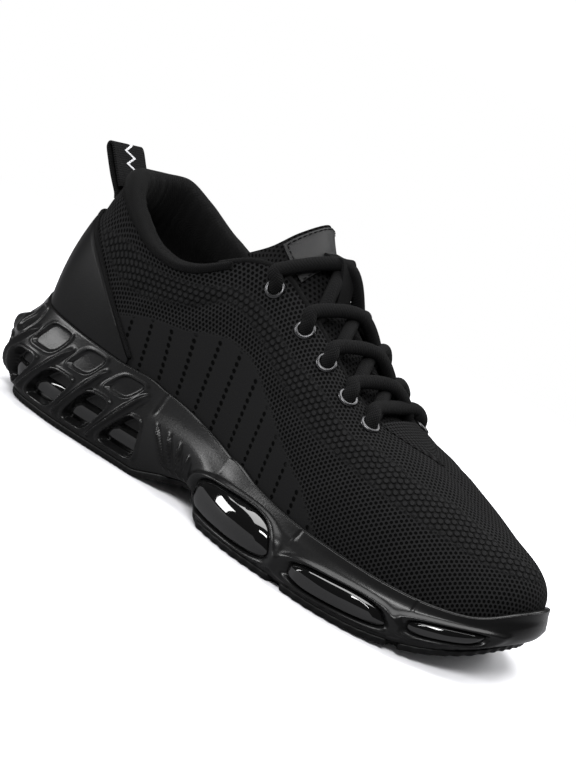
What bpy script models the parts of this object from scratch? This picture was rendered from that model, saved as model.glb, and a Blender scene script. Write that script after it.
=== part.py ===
"""Safety sneaker, one right shoe: knit upper, bubble sole and caged heel tube.

Metres. X runs to the toe, +Y to the inner (big toe) side, Z up, and the floor is
at zero. Every shoe surface is read from one outline that runs round the foot: t
goes from the back of the heel (0) along the outer side to the toe (1), and back
along the inner side to the heel (2).
"""

import math

import bmesh
import bpy
import numpy as np
from mathutils import Matrix, Vector

# Main sizes of the shoe
SOLE_LENGTH = 0.298
BALL_WIDTH = 0.101
COLLAR_HEIGHT = 0.117
HEEL_STACK = 0.030
CUP_DEPTH = 0.0125
TOE_SPRING = 0.0205
ARCH_RISE = 0.0085
WALL_BULGE = 0.003
SIDE_BULGE = 0.010

# Walls, clearances and other thicknesses
CLEARANCE = 0.0003
UPPER_WALL = 0.0024
RIM_WALL = 0.0022
TREAD_THICKNESS = 0.0035
TREAD_CHAMFER = 0.0010
INSOLE_THICKNESS = 0.0042
INSOLE_BEVEL = 0.0018
COUNTER_WALL = 0.0011
PIPING_RADIUS = 0.0011
COLLAR_PAD = 0.0068
TONGUE_PAD = 0.0045
TONGUE_GAP = 0.0010
LABEL_THICKNESS = 0.0008
LABEL_FROM = 6
LABEL_LOW = (0.75, 1.0)
LABEL_HIGH = (0.5, 0.92)
LABEL_WIDE = 0.85
LABEL_LIFT = Vector((0.0006, 0.0, 0.0006))
WEBBING_THICKNESS = 0.0012

# Heel cage and the glossy tube behind it
CAGE_WALL = 0.0034
TUBE_DEPTH = 0.0125
TUBE_BOTTOM = 0.0056
TUBE_HEIGHT = 0.0146
TUBE_RIDGE = 0.56
CHANNEL_HEADROOM = 0.0058
CHANNEL_OVERRUN = 0.004
WINDOW_BOTTOM = 0.0072
WINDOW_TOP = 0.0250
WINDOW_REACH = 0.6
PANEL_BOTTOM = 0.0300
PANEL_TOP = 0.0415
PANEL_DEPTH = 0.0011
RIB_PROUD = 0.0016
RIB_ROOT = 0.0015
RIB_STEPS = 4
RIB_SECTION = ((-1.0, 0.0), (-0.75, 0.75), (0.0, 1.0), (0.75, 0.75), (1.0, 0.0))
RIB_TOP = 0.0370
RIB_WIDTH = 0.0050
WAIST_RIB_WIDTH = 0.0022
WAIST_RIB_PROUD = 0.0018

# Bubbles under the ball and the toe
POD_PROUD = 0.0032
POD_DEPTH = 0.0060
POD_GAP = 0.0005
POD_POWER = 3.2
POD_DOME = 0.6
POD_STEPS = 3

# Tread
GROOVE_WIDTH = 0.0024
GROOVE_DEPTH = 0.0018
GROOVE_PITCH = 0.0105
NOTCH_DEPTH = 0.0045
NOTCH_POWER = 2.5
NOTCH_STEPS = 1
GROOVE_REACH = 0.48
GROOVE_LIMIT = 0.2

# Throat, laces and eyelets
EYELET_SETBACK = 0.0085
EYELET_HOLE = 0.0026
EYELET_BARREL = 0.0032
EYELET_RIM = 0.0048
EYELET_THICKNESS = 0.0009
EYELET_SEAT = 0.0010
LACE_RADIUS = 0.0031
LACE_LIFT = 0.0040
LACE_CLEAR = 0.0019
LACE_OVER = 1.3
LACE_TUCK = 0.45

# Pull loop at the heel
LOOP_WIDTH = 0.0235
LOOP_HEIGHT = 0.0230
LOOP_LEAN = 38.0
LOOP_ROOT = 0.66
LOOP_KNEE = 0.80

# Facets
RING_STEPS = 56
SWEEP_STEPS = 18
BLOCK_STEPS = 2
PANEL_STEPS = 1
BLOCK_POWER = 4.0
EYELET_STEPS = 8
HEEL_CROWDING = 0.06

# One row for each station round the shoe. Shares of SOLE_LENGTH: along, edge_along.
# Shares of BALL_WIDTH: outer and inner half width of the sole, edge_gap, edge_mid.
# Shares of WALL_BULGE: how far the side tucks in at the foot and at the rim. Then
# arch of ARCH_RISE, roll of TOE_SPRING, stack of HEEL_STACK, cup of CUP_DEPTH, and
# edge_height and inner_lift of COLLAR_HEIGHT. The edge is where the upper ends: at
# the collar, at the throat, or, where its gap is 0, on the ridge of the vamp. full,
# level, slope and bulge say how the wall leaves the sole and how it meets the edge.
STATION_COLUMNS = (
    "along", "outer", "inner", "tuck", "flare", "arch", "roll", "stack", "cup",
    "edge_along", "edge_gap", "edge_mid", "edge_height", "inner_lift",
    "full", "level", "slope", "bulge",
)
STATIONS = (
    # the heel
    (0.000, 0.000, 0.000, 4.0, 3.6, 0.0, 0.10, 0.97, 1.64,
     0.076, 0.000, 0.000, 1.000, 0.000, 0.7, 0.00, 0.00, 0.7),
    (0.009, 0.212, 0.200, 3.8, 3.6, 0.0, 0.08, 0.97, 1.60,
     0.084, 0.110, 0.000, 0.998, 0.005, 0.7, 0.00, 0.00, 0.7),
    (0.056, 0.362, 0.346, 2.6, 2.9, 0.0, 0.03, 0.97, 1.44,
     0.109, 0.205, 0.000, 0.965, 0.045, 0.7, 0.00, 0.00, 0.6),
    (0.152, 0.404, 0.382, 1.4, 1.7, 0.0, 0.00, 0.98, 1.26,
     0.159, 0.267, 0.000, 0.885, 0.075, 0.7, 0.00, 0.00, 0.4),
    (0.250, 0.400, 0.363, 1.1, 1.0, 0.0, 0.00, 0.97, 1.16,
     0.227, 0.295, -0.005, 0.812, 0.075, 0.7, 0.05, 0.00, 0.3),
    (0.342, 0.391, 0.340, 1.1, 1.0, 0.0, 0.00, 0.92, 1.20,
     0.300, 0.287, -0.010, 0.830, 0.035, 0.7, 0.10, 0.10, 0.3),
    # the waist
    (0.404, 0.398, 0.330, 1.1, 1.0, 0.7, 0.00, 0.67, 1.16,
     0.378, 0.235, -0.010, 0.945, 0.005, 0.8, 0.30, 0.10, 0.3),
    (0.455, 0.417, 0.338, 1.0, 1.1, 1.0, 0.00, 0.53, 1.04,
     0.430, 0.205, -0.010, 0.952, 0.000, 0.8, 0.45, 0.30, 0.3),
    (0.498, 0.462, 0.376, 0.6, 1.9, 0.0, 0.00, 0.74, 0.94,
     0.482, 0.198, -0.008, 0.890, 0.000, 0.8, 0.60, 0.45, 0.3),
    # the ball
    (0.562, 0.512, 0.428, 0.4, 2.4, 0.0, 0.00, 0.66, 0.84,
     0.539, 0.192, -0.005, 0.806, 0.000, 0.9, 0.75, 0.48, 0.3),
    (0.653, 0.538, 0.477, 0.5, 1.9, 0.0, 0.00, 0.57, 0.80,
     0.599, 0.180, -0.002, 0.702, 0.000, 0.9, 0.85, 0.48, 0.3),
    (0.737, 0.545, 0.515, 0.4, 2.0, 0.0, 0.00, 0.52, 0.84,
     0.655, 0.155, 0.002, 0.636, 0.000, 1.0, 0.90, 0.40, 0.2),
    (0.818, 0.502, 0.497, 0.5, 1.6, 0.0, 0.04, 0.42, 0.95,
     0.702, 0.085, 0.004, 0.606, 0.000, 0.8, 1.00, 0.20, 0.2),
    # the toe
    (0.885, 0.423, 0.432, 0.8, 1.3, 0.0, 0.19, 0.38, 0.82,
     0.747, 0.000, 0.006, 0.577, 0.000, 0.75, 1.00, 0.15, 0.2),
    (0.940, 0.302, 0.310, 1.2, 0.9, 0.0, 0.45, 0.32, 0.74,
     0.821, 0.000, 0.008, 0.515, 0.000, 0.75, 1.00, 0.20, 0.2),
    (0.974, 0.158, 0.158, 1.8, 0.6, 0.0, 0.68, 0.27, 0.98,
     0.881, 0.000, 0.008, 0.474, 0.000, 0.8, 1.00, 0.22, 0.2),
    (0.985, 0.005, -0.005, 2.0, 0.5, 0.0, 0.75, 0.25, 1.08,
     0.906, 0.000, 0.006, 0.458, 0.000, 0.85, 1.00, 0.26, 0.2),
)

# Side of the sole from tread to rim: share of its height, of the tuck, of the flare
WALL_PROFILE = (
    (0.00, 1.00, 0.00),
    (0.12, 0.45, 0.00),
    (0.28, 0.12, 0.00),
    (0.46, 0.00, 0.03),
    (0.62, 0.00, 0.20),
    (0.78, 0.00, 0.66),
    (1.00, 0.00, 1.00),
)

# Openings in the heel cage on each side, as shares of one side's outline:
# at the bottom from, to, and at the top from, to
WINDOWS = (
    (0.020, 0.074, 0.054, 0.104),
    (0.096, 0.144, 0.130, 0.175),
    (0.166, 0.216, 0.199, 0.243),
    (0.238, 0.281, 0.268, 0.308),
    (0.302, 0.368, 0.338, 0.362),
)
# Sunk panels above them, the same way, then the top as a share of PANEL_TOP
PANELS = (
    (0.014, 0.045, 0.028, 0.057, 1.16),
    (0.085, 0.119, 0.103, 0.136, 1.08),
    (0.149, 0.190, 0.165, 0.207, 1.02),
    (0.218, 0.256, 0.238, 0.276, 0.99),
    (0.286, 0.324, 0.308, 0.346, 0.96),
)
# Raised ribs of the cage: foot of the rib, head of the rib
CAGE_RIBS = (
    (0.010, 0.075),
    (0.082, 0.147),
    (0.152, 0.217),
    (0.225, 0.281),
    (0.289, 0.350),
)
# Ribs of the waist: place of the foot and of the head, then the height of the foot
# and of the head as shares of HEEL_STACK
WAIST_RIBS = (
    (0.419, 0.385, 0.42, 0.94),
    (0.430, 0.408, 0.42, 0.93),
    (0.443, 0.430, 0.43, 0.89),
    (0.455, 0.450, 0.44, 0.81),
)
# Bubbles: foot from, to and top from, to along the side, heights of the rear foot,
# front foot, rear top and front top as shares of HEEL_STACK, then how far the
# bubble stands out and goes in as shares of POD_PROUD and POD_DEPTH
PODS = (
    ("rear", 0.468, 0.638, 0.482, 0.612, 0.22, 0.19, 0.76, 0.78, 0.8, 1.0),
    ("mid", 0.660, 0.812, 0.664, 0.784, 0.19, 0.28, 0.53, 0.60, 0.7, 1.0),
    ("toe", 0.824, 0.912, 0.824, 0.922, 0.38, 0.58, 0.60, 0.78, 0.3, 0.6),
)
# Notches in the edge of the tread, on each side: place, half width at the edge
NOTCHES = (
    (0.443, 0.024),
    (0.650, 0.010),
    (0.817, 0.008),
)
# Eyelets: stations of the throat edge, as shares of SOLE_LENGTH
EYELETS = (0.423, 0.497, 0.549, 0.597, 0.640)

# Rows of the upper from the sole's rim to its edge
UPPER_ROWS = (0.0, 0.13, 0.30, 0.48, 0.66, 0.84, 1.0)
# Edge of the heel counter: share of its reach round the side, height v on the upper
COUNTER_REACH = 0.300
COUNTER_EDGE = ((0.0, 0.57), (0.30, 0.59), (0.55, 0.51), (0.78, 0.31), (1.0, 0.03))
COUNTER_LIFT = 0.0006
# Collar lining: how far round it reaches, how it thins, and its section
COLLAR_REACH = 0.400
COLLAR_TAPER = 0.7
COLLAR_SECTION = (
    # v on the upper, share of COLLAR_PAD inwards
    (0.48, 0.0), (0.66, 0.0), (0.84, 0.0), (1.00, 0.0), (1.035, 0.25), (1.045, 0.55),
    (1.01, 0.88), (0.92, 1.0), (0.78, 0.96), (0.62, 0.66), (0.50, 0.28),
)
# Tongue: place along the throat's edge, how far its middle stands above the edge
# and forward of it as shares of COLLAR_HEIGHT, and its extra gap below the upper
# as a share of UPPER_WALL
TONGUE_ROWS = (
    (0.735, 0.000, 0.000, 1.0),
    (0.690, 0.006, 0.000, 0.5),
    (0.640, 0.024, 0.000, 0.0),
    (0.580, 0.036, 0.000, 0.0),
    (0.525, 0.045, 0.000, 0.0),
    (0.482, 0.070, 0.005, 0.0),
    (0.455, 0.100, 0.018, 0.0),
    (0.430, 0.150, 0.028, 0.0),
)
# The free top's edge: along, side and height, as shares of SOLE_LENGTH, BALL_WIDTH
# and COLLAR_HEIGHT, from the outer side to the middle
TONGUE_TOP = (
    (0.362, 0.175, 0.975),
    (0.376, 0.150, 1.010),
    (0.405, 0.118, 1.100),
    (0.421, 0.000, 1.160),
)
TONGUE_UNDER = 0.84
TONGUE_ACROSS = (0.2, 0.5, 0.8)

COLORS = {
    "rubber": ((0.016, 0.016, 0.017), 0.55),
    "foam": ((0.018, 0.018, 0.019), 0.48),
    "gloss": ((0.004, 0.004, 0.005), 0.08),
    "knit": ((0.012, 0.012, 0.012), 0.85),
    "lining": ((0.008, 0.008, 0.008), 0.90),
    "synthetic": ((0.014, 0.014, 0.015), 0.50),
    "satin": ((0.020, 0.020, 0.021), 0.42),
    "metal": ((0.060, 0.060, 0.062), 0.30),
    "lace": ((0.010, 0.010, 0.010), 0.80),
}


def mix(a, b, share):
    return a + (b - a) * share


class Smooth:
    """A soft curve through table rows at rising keys, closed after a period."""

    def __init__(self, keys, rows, period=None):
        keys = np.array(keys, dtype=float)
        rows = np.array(rows, dtype=float)
        self.period = period
        if period:
            keys = np.concatenate([[keys[-1] - period], keys, [keys[0] + period]])
            rows = np.vstack([rows[-1], rows, rows[0]])
        steps = np.diff(keys)[:, None]
        slopes = np.diff(rows, axis=0) / steps
        pulls = np.empty_like(rows)
        pulls[0] = slopes[0]
        pulls[-1] = slopes[-1]
        pulls[1:-1] = (slopes[1:] * steps[:-1] + slopes[:-1] * steps[1:]) / (steps[1:] + steps[:-1])
        self.keys = keys
        self.rows = rows
        self.pulls = pulls

    def at(self, key):
        if self.period:
            key = key % self.period
        i = int(np.clip(np.searchsorted(self.keys, key, side="right") - 1, 0, len(self.keys) - 2))
        step = self.keys[i + 1] - self.keys[i]
        s = (key - self.keys[i]) / step
        return (
            (1 + 2 * s) * (1 - s) ** 2 * self.rows[i]
            + s * (1 - s) ** 2 * step * self.pulls[i]
            + s * s * (3 - 2 * s) * self.rows[i + 1]
            - s * s * (1 - s) * step * self.pulls[i + 1]
        )


def outline_keys():
    """Share of a side's length at which each station stands, the same on both sides."""
    outer = np.array([(row[0] * SOLE_LENGTH, -row[1] * BALL_WIDTH) for row in STATIONS])
    inner = np.array([(row[0] * SOLE_LENGTH, row[2] * BALL_WIDTH) for row in STATIONS])
    steps = np.hypot(*np.diff(outer, axis=0).T) + np.hypot(*np.diff(inner, axis=0).T)
    travelled = np.concatenate([[0.0], np.cumsum(steps)])
    return travelled / travelled[-1]


def round_the_shoe():
    """Rows of x, y and the other columns, from the heel round by the toe and back."""
    keys = outline_keys()
    outer = [(row[0], -row[1], row[2], *row[3:]) for row in STATIONS]
    inner = [(row[0], row[2], row[2], *row[3:]) for row in STATIONS]
    rows = outer + inner[-2:0:-1]
    around = list(keys) + [2.0 - key for key in keys[-2:0:-1]]
    return Smooth(around, [(r[0], r[1], *r[3:]) for r in rows], period=2.0)


AROUND = round_the_shoe()
COLUMN = {name: i for i, name in enumerate(("along", "side") + STATION_COLUMNS[3:])}


def side_length():
    """Length of the outline from the back of the heel to the toe, one side."""
    points = [Vector(AROUND.at(i / 50)[:2]) for i in range(51)]
    scale = Vector((SOLE_LENGTH, BALL_WIDTH))
    return sum(((b - a) * scale).length for a, b in zip(points, points[1:]))


SIDE_LENGTH = side_length()


def place_at(along):
    """Where round a side the outline passes this share of the length."""
    return float(np.interp(along, [row[0] for row in STATIONS], outline_keys()))


class Station:
    """Heights, outline and upper's edge at one place round the shoe."""

    def __init__(self, t):
        row = AROUND.at(t)
        pick = {name: row[i] for name, i in COLUMN.items()}
        ahead = AROUND.at(t + 0.002)
        behind = AROUND.at(t - 0.002)
        run = Vector((
            (ahead[0] - behind[0]) * SOLE_LENGTH,
            (ahead[1] - behind[1]) * BALL_WIDTH,
            0.0,
        )).normalized()
        self.out = Vector((run.y, -run.x, 0.0))
        self.place = Vector((pick["along"] * SOLE_LENGTH, pick["side"] * BALL_WIDTH, 0.0))
        self.floor = max(pick["arch"], 0.0) * ARCH_RISE + max(pick["roll"], 0.0) * TOE_SPRING
        self.bed = self.floor + pick["stack"] * HEEL_STACK
        self.rim = self.bed + pick["cup"] * CUP_DEPTH
        self.tuck = pick["tuck"] * WALL_BULGE
        self.flare = pick["flare"] * WALL_BULGE
        turn = -1.0 if t % 2.0 < 1.0 else 1.0
        gap = max(pick["edge_gap"], 0.0)
        lift = max(pick["inner_lift"], 0.0) if turn > 0 else 0.0
        self.edge = Vector((
            pick["edge_along"] * SOLE_LENGTH,
            (pick["edge_mid"] + turn * gap) * BALL_WIDTH,
            (pick["edge_height"] + lift) * COLLAR_HEIGHT,
        ))
        self.full = pick["full"]
        self.level = min(max(pick["level"], 0.0), 1.0)
        self.slope = pick["slope"]
        self.bulge = pick["bulge"] * SIDE_BULGE

    def wall_inset(self, share):
        """How far the side lies in from the outline at this share of its height."""
        heights = [row[0] for row in WALL_PROFILE]
        foot = float(np.interp(share, heights, [row[1] for row in WALL_PROFILE]))
        head = float(np.interp(share, heights, [row[2] for row in WALL_PROFILE]))
        return foot * self.tuck + head * self.flare

    def upper_inset(self):
        return self.flare + RIM_WALL + CLEARANCE

    def offset(self, out, height):
        point = self.place + self.out * out
        point.z = height
        return point


def ring_places():
    """Places round the outline, closer together at the heel and the toe."""
    half = RING_STEPS // 2
    side = []
    for i in range(half + 1):
        u = i / half
        side.append(u - HEEL_CROWDING * math.sin(2 * math.pi * u))
    return side + [2.0 - t for t in side[-2:0:-1]]


PLACES = ring_places()


def wall_point(t, height, proud=0.0):
    """A point on the side of the sole at this height, moved out by proud."""
    station = Station(t)
    base = station.floor + TREAD_THICKNESS
    share = (height - base) / (station.rim - base)
    return station.offset(proud - station.wall_inset(share), height)


def upper_curve(t, v):
    """Outer face of the upper: v is 0 at the sole's rim and 1 at its edge."""
    station = Station(t)
    start = station.offset(-station.upper_inset(), station.rim)
    span = station.edge - start
    flat = Vector((span.x, span.y, 0.0))
    leave = flat * (1 - station.full) + Vector((0, 0, span.z * (1 + 0.65 * station.full)))
    leave += station.out * station.bulge
    reach = flat * (1 + 0.65 * station.level)
    lie_z = span.z * (1 - station.level) - station.slope * reach.x * station.level
    reach.z = lie_z
    return (
        start * ((1 + 2 * v) * (1 - v) ** 2)
        + leave * (v * (1 - v) ** 2)
        + station.edge * (v * v * (3 - 2 * v))
        - reach * (v * v * (1 - v))
    )


def upper_normal(t, v):
    step = 0.004
    v = min(max(v, step), 1 - step)
    along = upper_curve(t + step, v) - upper_curve(t - step, v)
    up = upper_curve(t, v + step) - upper_curve(t, v - step)
    return along.cross(up).normalized()


def upper_point(t, v, depth=0.0):
    """A point of the upper's wall, depth below its outer face."""
    return upper_curve(t, v) - upper_normal(t, v) * depth


def place_of_edge(share):
    """Where round the outer side the upper's edge passes this share of the length."""
    low = outline_keys()[5]
    high = outline_keys()[13]
    for _ in range(30):
        middle = (low + high) / 2
        if AROUND.at(middle)[COLUMN["edge_along"]] < share:
            low = middle
        else:
            high = middle
    return low


MODEL = "safety_sneaker"
CUTTERS = "cutters"


def clear_scene():
    for item in list(bpy.data.objects):
        bpy.data.objects.remove(item, do_unlink=True)
    for group in list(bpy.data.collections):
        bpy.data.collections.remove(group)
    for name in (MODEL, CUTTERS):
        group = bpy.data.collections.new(name)
        bpy.context.scene.collection.children.link(group)


def material(name):
    found = bpy.data.materials.get(name)
    if found:
        return found
    made = bpy.data.materials.new(name)
    made.use_nodes = True
    shader = made.node_tree.nodes["Principled BSDF"]
    color, roughness = COLORS[name]
    shader.inputs["Base Color"].default_value = (*color, 1.0)
    shader.inputs["Roughness"].default_value = roughness
    shader.inputs["Metallic"].default_value = 1.0 if name == "metal" else 0.0
    return made


def new_object(name, mesh, finish=None):
    """A part of the shoe, or a cutter when it has no finish."""
    item = bpy.data.objects.new(name, mesh)
    if finish:
        bpy.data.collections[MODEL].objects.link(item)
        mesh.materials.append(material(finish))
        return item
    bpy.data.collections[CUTTERS].objects.link(item)
    item.hide_render = True
    item.display_type = "WIRE"
    return item


def mesh_object(name, body, finish=None):
    """An object from a bmesh; a closed shape gets its faces pointing out."""
    if all(edge.is_manifold for edge in body.edges):
        bmesh.ops.recalc_face_normals(body, faces=body.faces)
        if body.calc_volume(signed=True) < 0:
            bmesh.ops.reverse_faces(body, faces=body.faces)
    mesh = bpy.data.meshes.new(name)
    body.to_mesh(mesh)
    body.free()
    item = new_object(name, mesh, finish)
    if finish:
        mesh.shade_smooth()
        mesh.set_sharp_from_angle(angle=math.radians(40))
    return item


def zip_cap(body, ring):
    """Close a ring of the outline with strips across the foot."""
    count = len(ring)
    half = count // 2
    body.faces.new((ring[0], ring[1], ring[count - 1]))
    for i in range(1, half - 1):
        body.faces.new((ring[i], ring[i + 1], ring[count - i - 1], ring[count - i]))
    body.faces.new((ring[half - 1], ring[half], ring[half + 1]))


def join_rings(body, rings, closed=True):
    for low, high in zip(rings, rings[1:]):
        count = len(low)
        last = count if closed else count - 1
        for i in range(last):
            j = (i + 1) % count
            body.faces.new((low[i], low[j], high[j], high[i]))


def ringed_solid(name, rings, finish):
    """A solid of stacked outline rings, closed below and above."""
    body = bmesh.new()
    made = [[body.verts.new(point) for point in ring] for ring in rings]
    join_rings(body, made)
    zip_cap(body, made[0])
    zip_cap(body, made[-1])
    return mesh_object(name, body, finish)


def boolean(item, cutter, operation):
    change = item.modifiers.new(cutter.name, "BOOLEAN")
    change.operation = operation
    change.solver = "EXACT"
    change.object = cutter


def apply_changes(item):
    """Replace the object's mesh by the mesh that its modifiers make."""
    depsgraph = bpy.context.evaluated_depsgraph_get()
    mesh = bpy.data.meshes.new_from_object(item.evaluated_get(depsgraph))
    item.modifiers.clear()
    item.data = mesh


def side_block(name, corners, heights, depths, cuts, power, finish=None, domed=0.0):
    """A box bent to the side of the sole, its corners rounded.

    corners: places at the foot from, to and at the top from, to. heights: foot
    from, foot to, top from, top to. depths: innermost and outermost face.
    power: higher keeps the corners squarer. domed: how far the faces round off.
    """
    body = bmesh.new()
    bmesh.ops.create_cube(body, size=2.0)
    bmesh.ops.subdivide_edges(body, edges=body.edges, cuts=cuts, use_grid_fill=True)
    for vert in body.verts:
        a, b, c = vert.co
        reach = max(abs(a), abs(b))
        spread = (abs(a) ** power + abs(b) ** power) ** (1 / power)
        if spread > 0:
            a, b = a * reach / spread, b * reach / spread
        if domed:
            whole = max(reach, abs(c))
            flat = math.hypot(reach, c)
            ease = mix(1.0, whole / flat, domed)
            a, b, c = a * ease, b * ease, c * ease
        across = (a + 1) / 2
        up = (b + 1) / 2
        t = mix(mix(corners[0], corners[1], across), mix(corners[2], corners[3], across), up)
        z = mix(mix(heights[0], heights[1], across), mix(heights[2], heights[3], across), up)
        vert.co = wall_point(t, z, mix(depths[0], depths[1], (c + 1) / 2))
    return mesh_object(name, body, finish)


def mirrored(values):
    """The same places on the inner side."""
    return [2.0 - value for value in values]


def both_sides(corners):
    return (("outer", list(corners)), ("inner", mirrored(corners)))


def make_outsole():
    """Tread layer with notches at its edge and grooves across and along."""
    stations = [Station(t) for t in PLACES]
    top = TREAD_THICKNESS - CLEARANCE
    rings = [
        [s.offset(-s.tuck - TREAD_CHAMFER, s.floor) for s in stations],
        [s.offset(-s.tuck, s.floor + 0.3 * top) for s in stations],
        [s.offset(-s.tuck, s.floor + top) for s in stations],
    ]
    outsole = ringed_solid("outsole", rings, "rubber")
    count = int(SOLE_LENGTH / GROOVE_PITCH)
    for i in range(1, count):
        groove_box(outsole, "groove_%02d" % i, (i + 0.5) / count)
    for i, (share, half) in enumerate(NOTCHES):
        for side, corners in both_sides((share - half, share + half, share - half, share + half)):
            station = Station(share)
            low = station.floor - TREAD_THICKNESS
            high = station.floor + 2 * TREAD_THICKNESS
            depths = (-station.tuck - NOTCH_DEPTH, 2 * NOTCH_DEPTH)
            name = "notch_%d_%s" % (i, side)
            cutter = side_block(name, corners, (low, low, high, high), depths, NOTCH_STEPS, NOTCH_POWER)
            boolean(outsole, cutter, "DIFFERENCE")
    return outsole


def groove_box(outsole, name, along):
    """A groove across the tread, at the height of the tread's face there."""
    station = Station(place_at(along))
    if station.floor > GROOVE_LIMIT * ARCH_RISE:
        return
    body = bmesh.new()
    size = Vector((GROOVE_WIDTH, GROOVE_REACH * BALL_WIDTH, 2 * GROOVE_DEPTH))
    bmesh.ops.create_cube(body, size=1.0)
    bmesh.ops.scale(body, vec=size, verts=body.verts)
    bmesh.ops.translate(body, vec=(along * SOLE_LENGTH, 0.0, station.floor), verts=body.verts)
    boolean(outsole, mesh_object(name, body), "DIFFERENCE")


def make_midsole():
    """Cup that holds the foot, its side cut for the cage, panels and bubbles."""
    stations = [Station(t) for t in PLACES]
    rings = []
    for share, _, _ in WALL_PROFILE:
        ring = []
        for t, s in zip(PLACES, stations):
            base = s.floor + TREAD_THICKNESS
            ring.append(wall_point(t, mix(base, s.rim, share)))
        rings.append(ring)
    rings.append([s.offset(-s.flare - RIM_WALL, s.rim) for s in stations])
    rings.append([s.offset(-s.flare - RIM_WALL, s.bed) for s in stations])
    return ringed_solid("midsole", rings, "foam")


def cut_cage(midsole):
    """Channel for the tube behind the cage wall, its windows and the panels."""
    top = TUBE_BOTTOM + TUBE_HEIGHT + CHANNEL_HEADROOM
    channel = heel_sweep(
        "channel", WINDOWS[-1][1] + CHANNEL_OVERRUN, TUBE_BOTTOM - CLEARANCE, top,
        CAGE_WALL, CAGE_WALL + TUBE_DEPTH + 2 * CLEARANCE, 0.0
    )
    boolean(midsole, channel, "DIFFERENCE")
    for i, corners in enumerate(WINDOWS):
        for side, places in both_sides(corners):
            heights = (WINDOW_BOTTOM, WINDOW_BOTTOM, WINDOW_TOP, WINDOW_TOP)
            name = "window_%d_%s" % (i, side)
            depths = (-CAGE_WALL - WINDOW_REACH * TUBE_DEPTH, 2 * CAGE_WALL)
            cutter = side_block(name, places, heights, depths, BLOCK_STEPS, BLOCK_POWER)
            boolean(midsole, cutter, "DIFFERENCE")
    for i, (*corners, top_share) in enumerate(PANELS):
        for side, places in both_sides(corners):
            top = PANEL_TOP * top_share
            heights = (PANEL_BOTTOM, PANEL_BOTTOM, top, top)
            name = "panel_%d_%s" % (i, side)
            depths = (-PANEL_DEPTH, 2 * CAGE_WALL)
            cutter = side_block(name, places, heights, depths, PANEL_STEPS, BLOCK_POWER)
            boolean(midsole, cutter, "DIFFERENCE")


def heel_sweep(name, reach, bottom, top, outer, inner, rounding, finish=None):
    """A bar round the heel behind the cage wall, from side to side."""
    body = bmesh.new()
    rings = []
    height = top - bottom
    depth = inner - outer
    for i in range(SWEEP_STEPS + 1):
        t = mix(-reach, reach, i / SWEEP_STEPS)
        ring = []
        for a, b in section_corners(rounding):
            z = bottom + height * b
            ring.append(body.verts.new(wall_point(t % 2.0, z, -outer - depth * a)))
        rings.append(ring)
    join_rings(body, rings)
    body.faces.new(rings[0])
    body.faces.new(rings[-1])
    return mesh_object(name, body, finish)


def section_corners(rounding):
    """Corners of a unit square section, each cut back by rounding."""
    if rounding == 0:
        return ((0, 0), (1, 0), (1, 1), (0, 1), (0, 0.78), (0, 0.55), (0, 0.35), (0, 0.17))
    r = rounding
    return (
        (r, 0), (1 - r, 0), (1, r), (1, 1 - r), (1 - r, 1),
        (r, 1), (0, 1 - r), (0, TUBE_RIDGE + 0.05), (0.10, TUBE_RIDGE), (0, TUBE_RIDGE - 0.05), (0, r),
    )


def add_ribs(midsole):
    """Raised ribs of the cage and of the waist."""
    for i, (foot, head) in enumerate(CAGE_RIBS):
        low = WINDOW_BOTTOM - RIB_PROUD
        add_rib(midsole, "rib_%d" % i, (foot, head), (low, RIB_TOP), RIB_WIDTH, RIB_PROUD)
    for i, (foot, head, low, high) in enumerate(WAIST_RIBS):
        heights = (low * HEEL_STACK, high * HEEL_STACK)
        add_rib(midsole, "waist_rib_%d" % i, (foot, head), heights, WAIST_RIB_WIDTH, WAIST_RIB_PROUD)


def add_rib(midsole, name, places, heights, width, proud):
    """A rounded bar on the side of the sole from its foot to its head."""
    half = width / SIDE_LENGTH / 2
    for side in ("outer", "inner"):
        body = bmesh.new()
        rings = []
        for i in range(RIB_STEPS + 1):
            share = i / RIB_STEPS
            z = mix(heights[0], heights[1], share)
            taper = min(share, 1 - share) * RIB_STEPS
            ease = min(1.0, 0.5 + 0.5 * taper)
            ring = []
            for across, out in RIB_SECTION:
                t = mix(places[0], places[1], share) + across * half * ease
                depth = proud * out * ease if out > 0 else -RIB_ROOT
                t = t if side == "outer" else 2.0 - t
                ring.append(body.verts.new(wall_point(t, z, depth)))
            rings.append(ring)
        join_rings(body, rings)
        body.faces.new(rings[0])
        body.faces.new(rings[-1])
        boolean(midsole, mesh_object("%s_%s" % (name, side), body), "UNION")


def make_pods(midsole):
    """Glossy bubbles, each in a pocket of its own shape."""
    pods = []
    grow = POD_GAP / SIDE_LENGTH
    for label, *values in PODS:
        foot_from, foot_to, top_from, top_to = values[:4]
        corners = (foot_from, foot_to, top_from, top_to)
        wider = (foot_from - grow, foot_to + grow, top_from - grow, top_to + grow)
        heights = [value * HEEL_STACK for value in values[4:8]]
        taller = [heights[0] - POD_GAP, heights[1] - POD_GAP, heights[2] + POD_GAP, heights[3] + POD_GAP]
        proud = values[8] * POD_PROUD
        depth = values[9] * POD_DEPTH
        for side, places in both_sides(corners):
            name = "pod_%s_%s" % (label, side)
            pods.append(
                side_block(name, places, heights, (-depth, proud), POD_STEPS, POD_POWER, "gloss", domed=POD_DOME)
            )
            pocket_places = wider if side == "outer" else mirrored(wider)
            depths = (-depth - POD_GAP, proud + POD_GAP)
            pocket = side_block(
                name + "_pocket", pocket_places, taller, depths, POD_STEPS, POD_POWER, domed=POD_DOME
            )
            boolean(midsole, pocket, "DIFFERENCE")
    return pods


def make_tube():
    """Glossy air tube round the heel, with a fine ridge along it."""
    return heel_sweep(
        "heel_air_tube", WINDOWS[-1][1], TUBE_BOTTOM, TUBE_BOTTOM + TUBE_HEIGHT,
        CAGE_WALL + 4 * CLEARANCE, CAGE_WALL + TUBE_DEPTH, 0.28, "gloss",
    )


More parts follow.
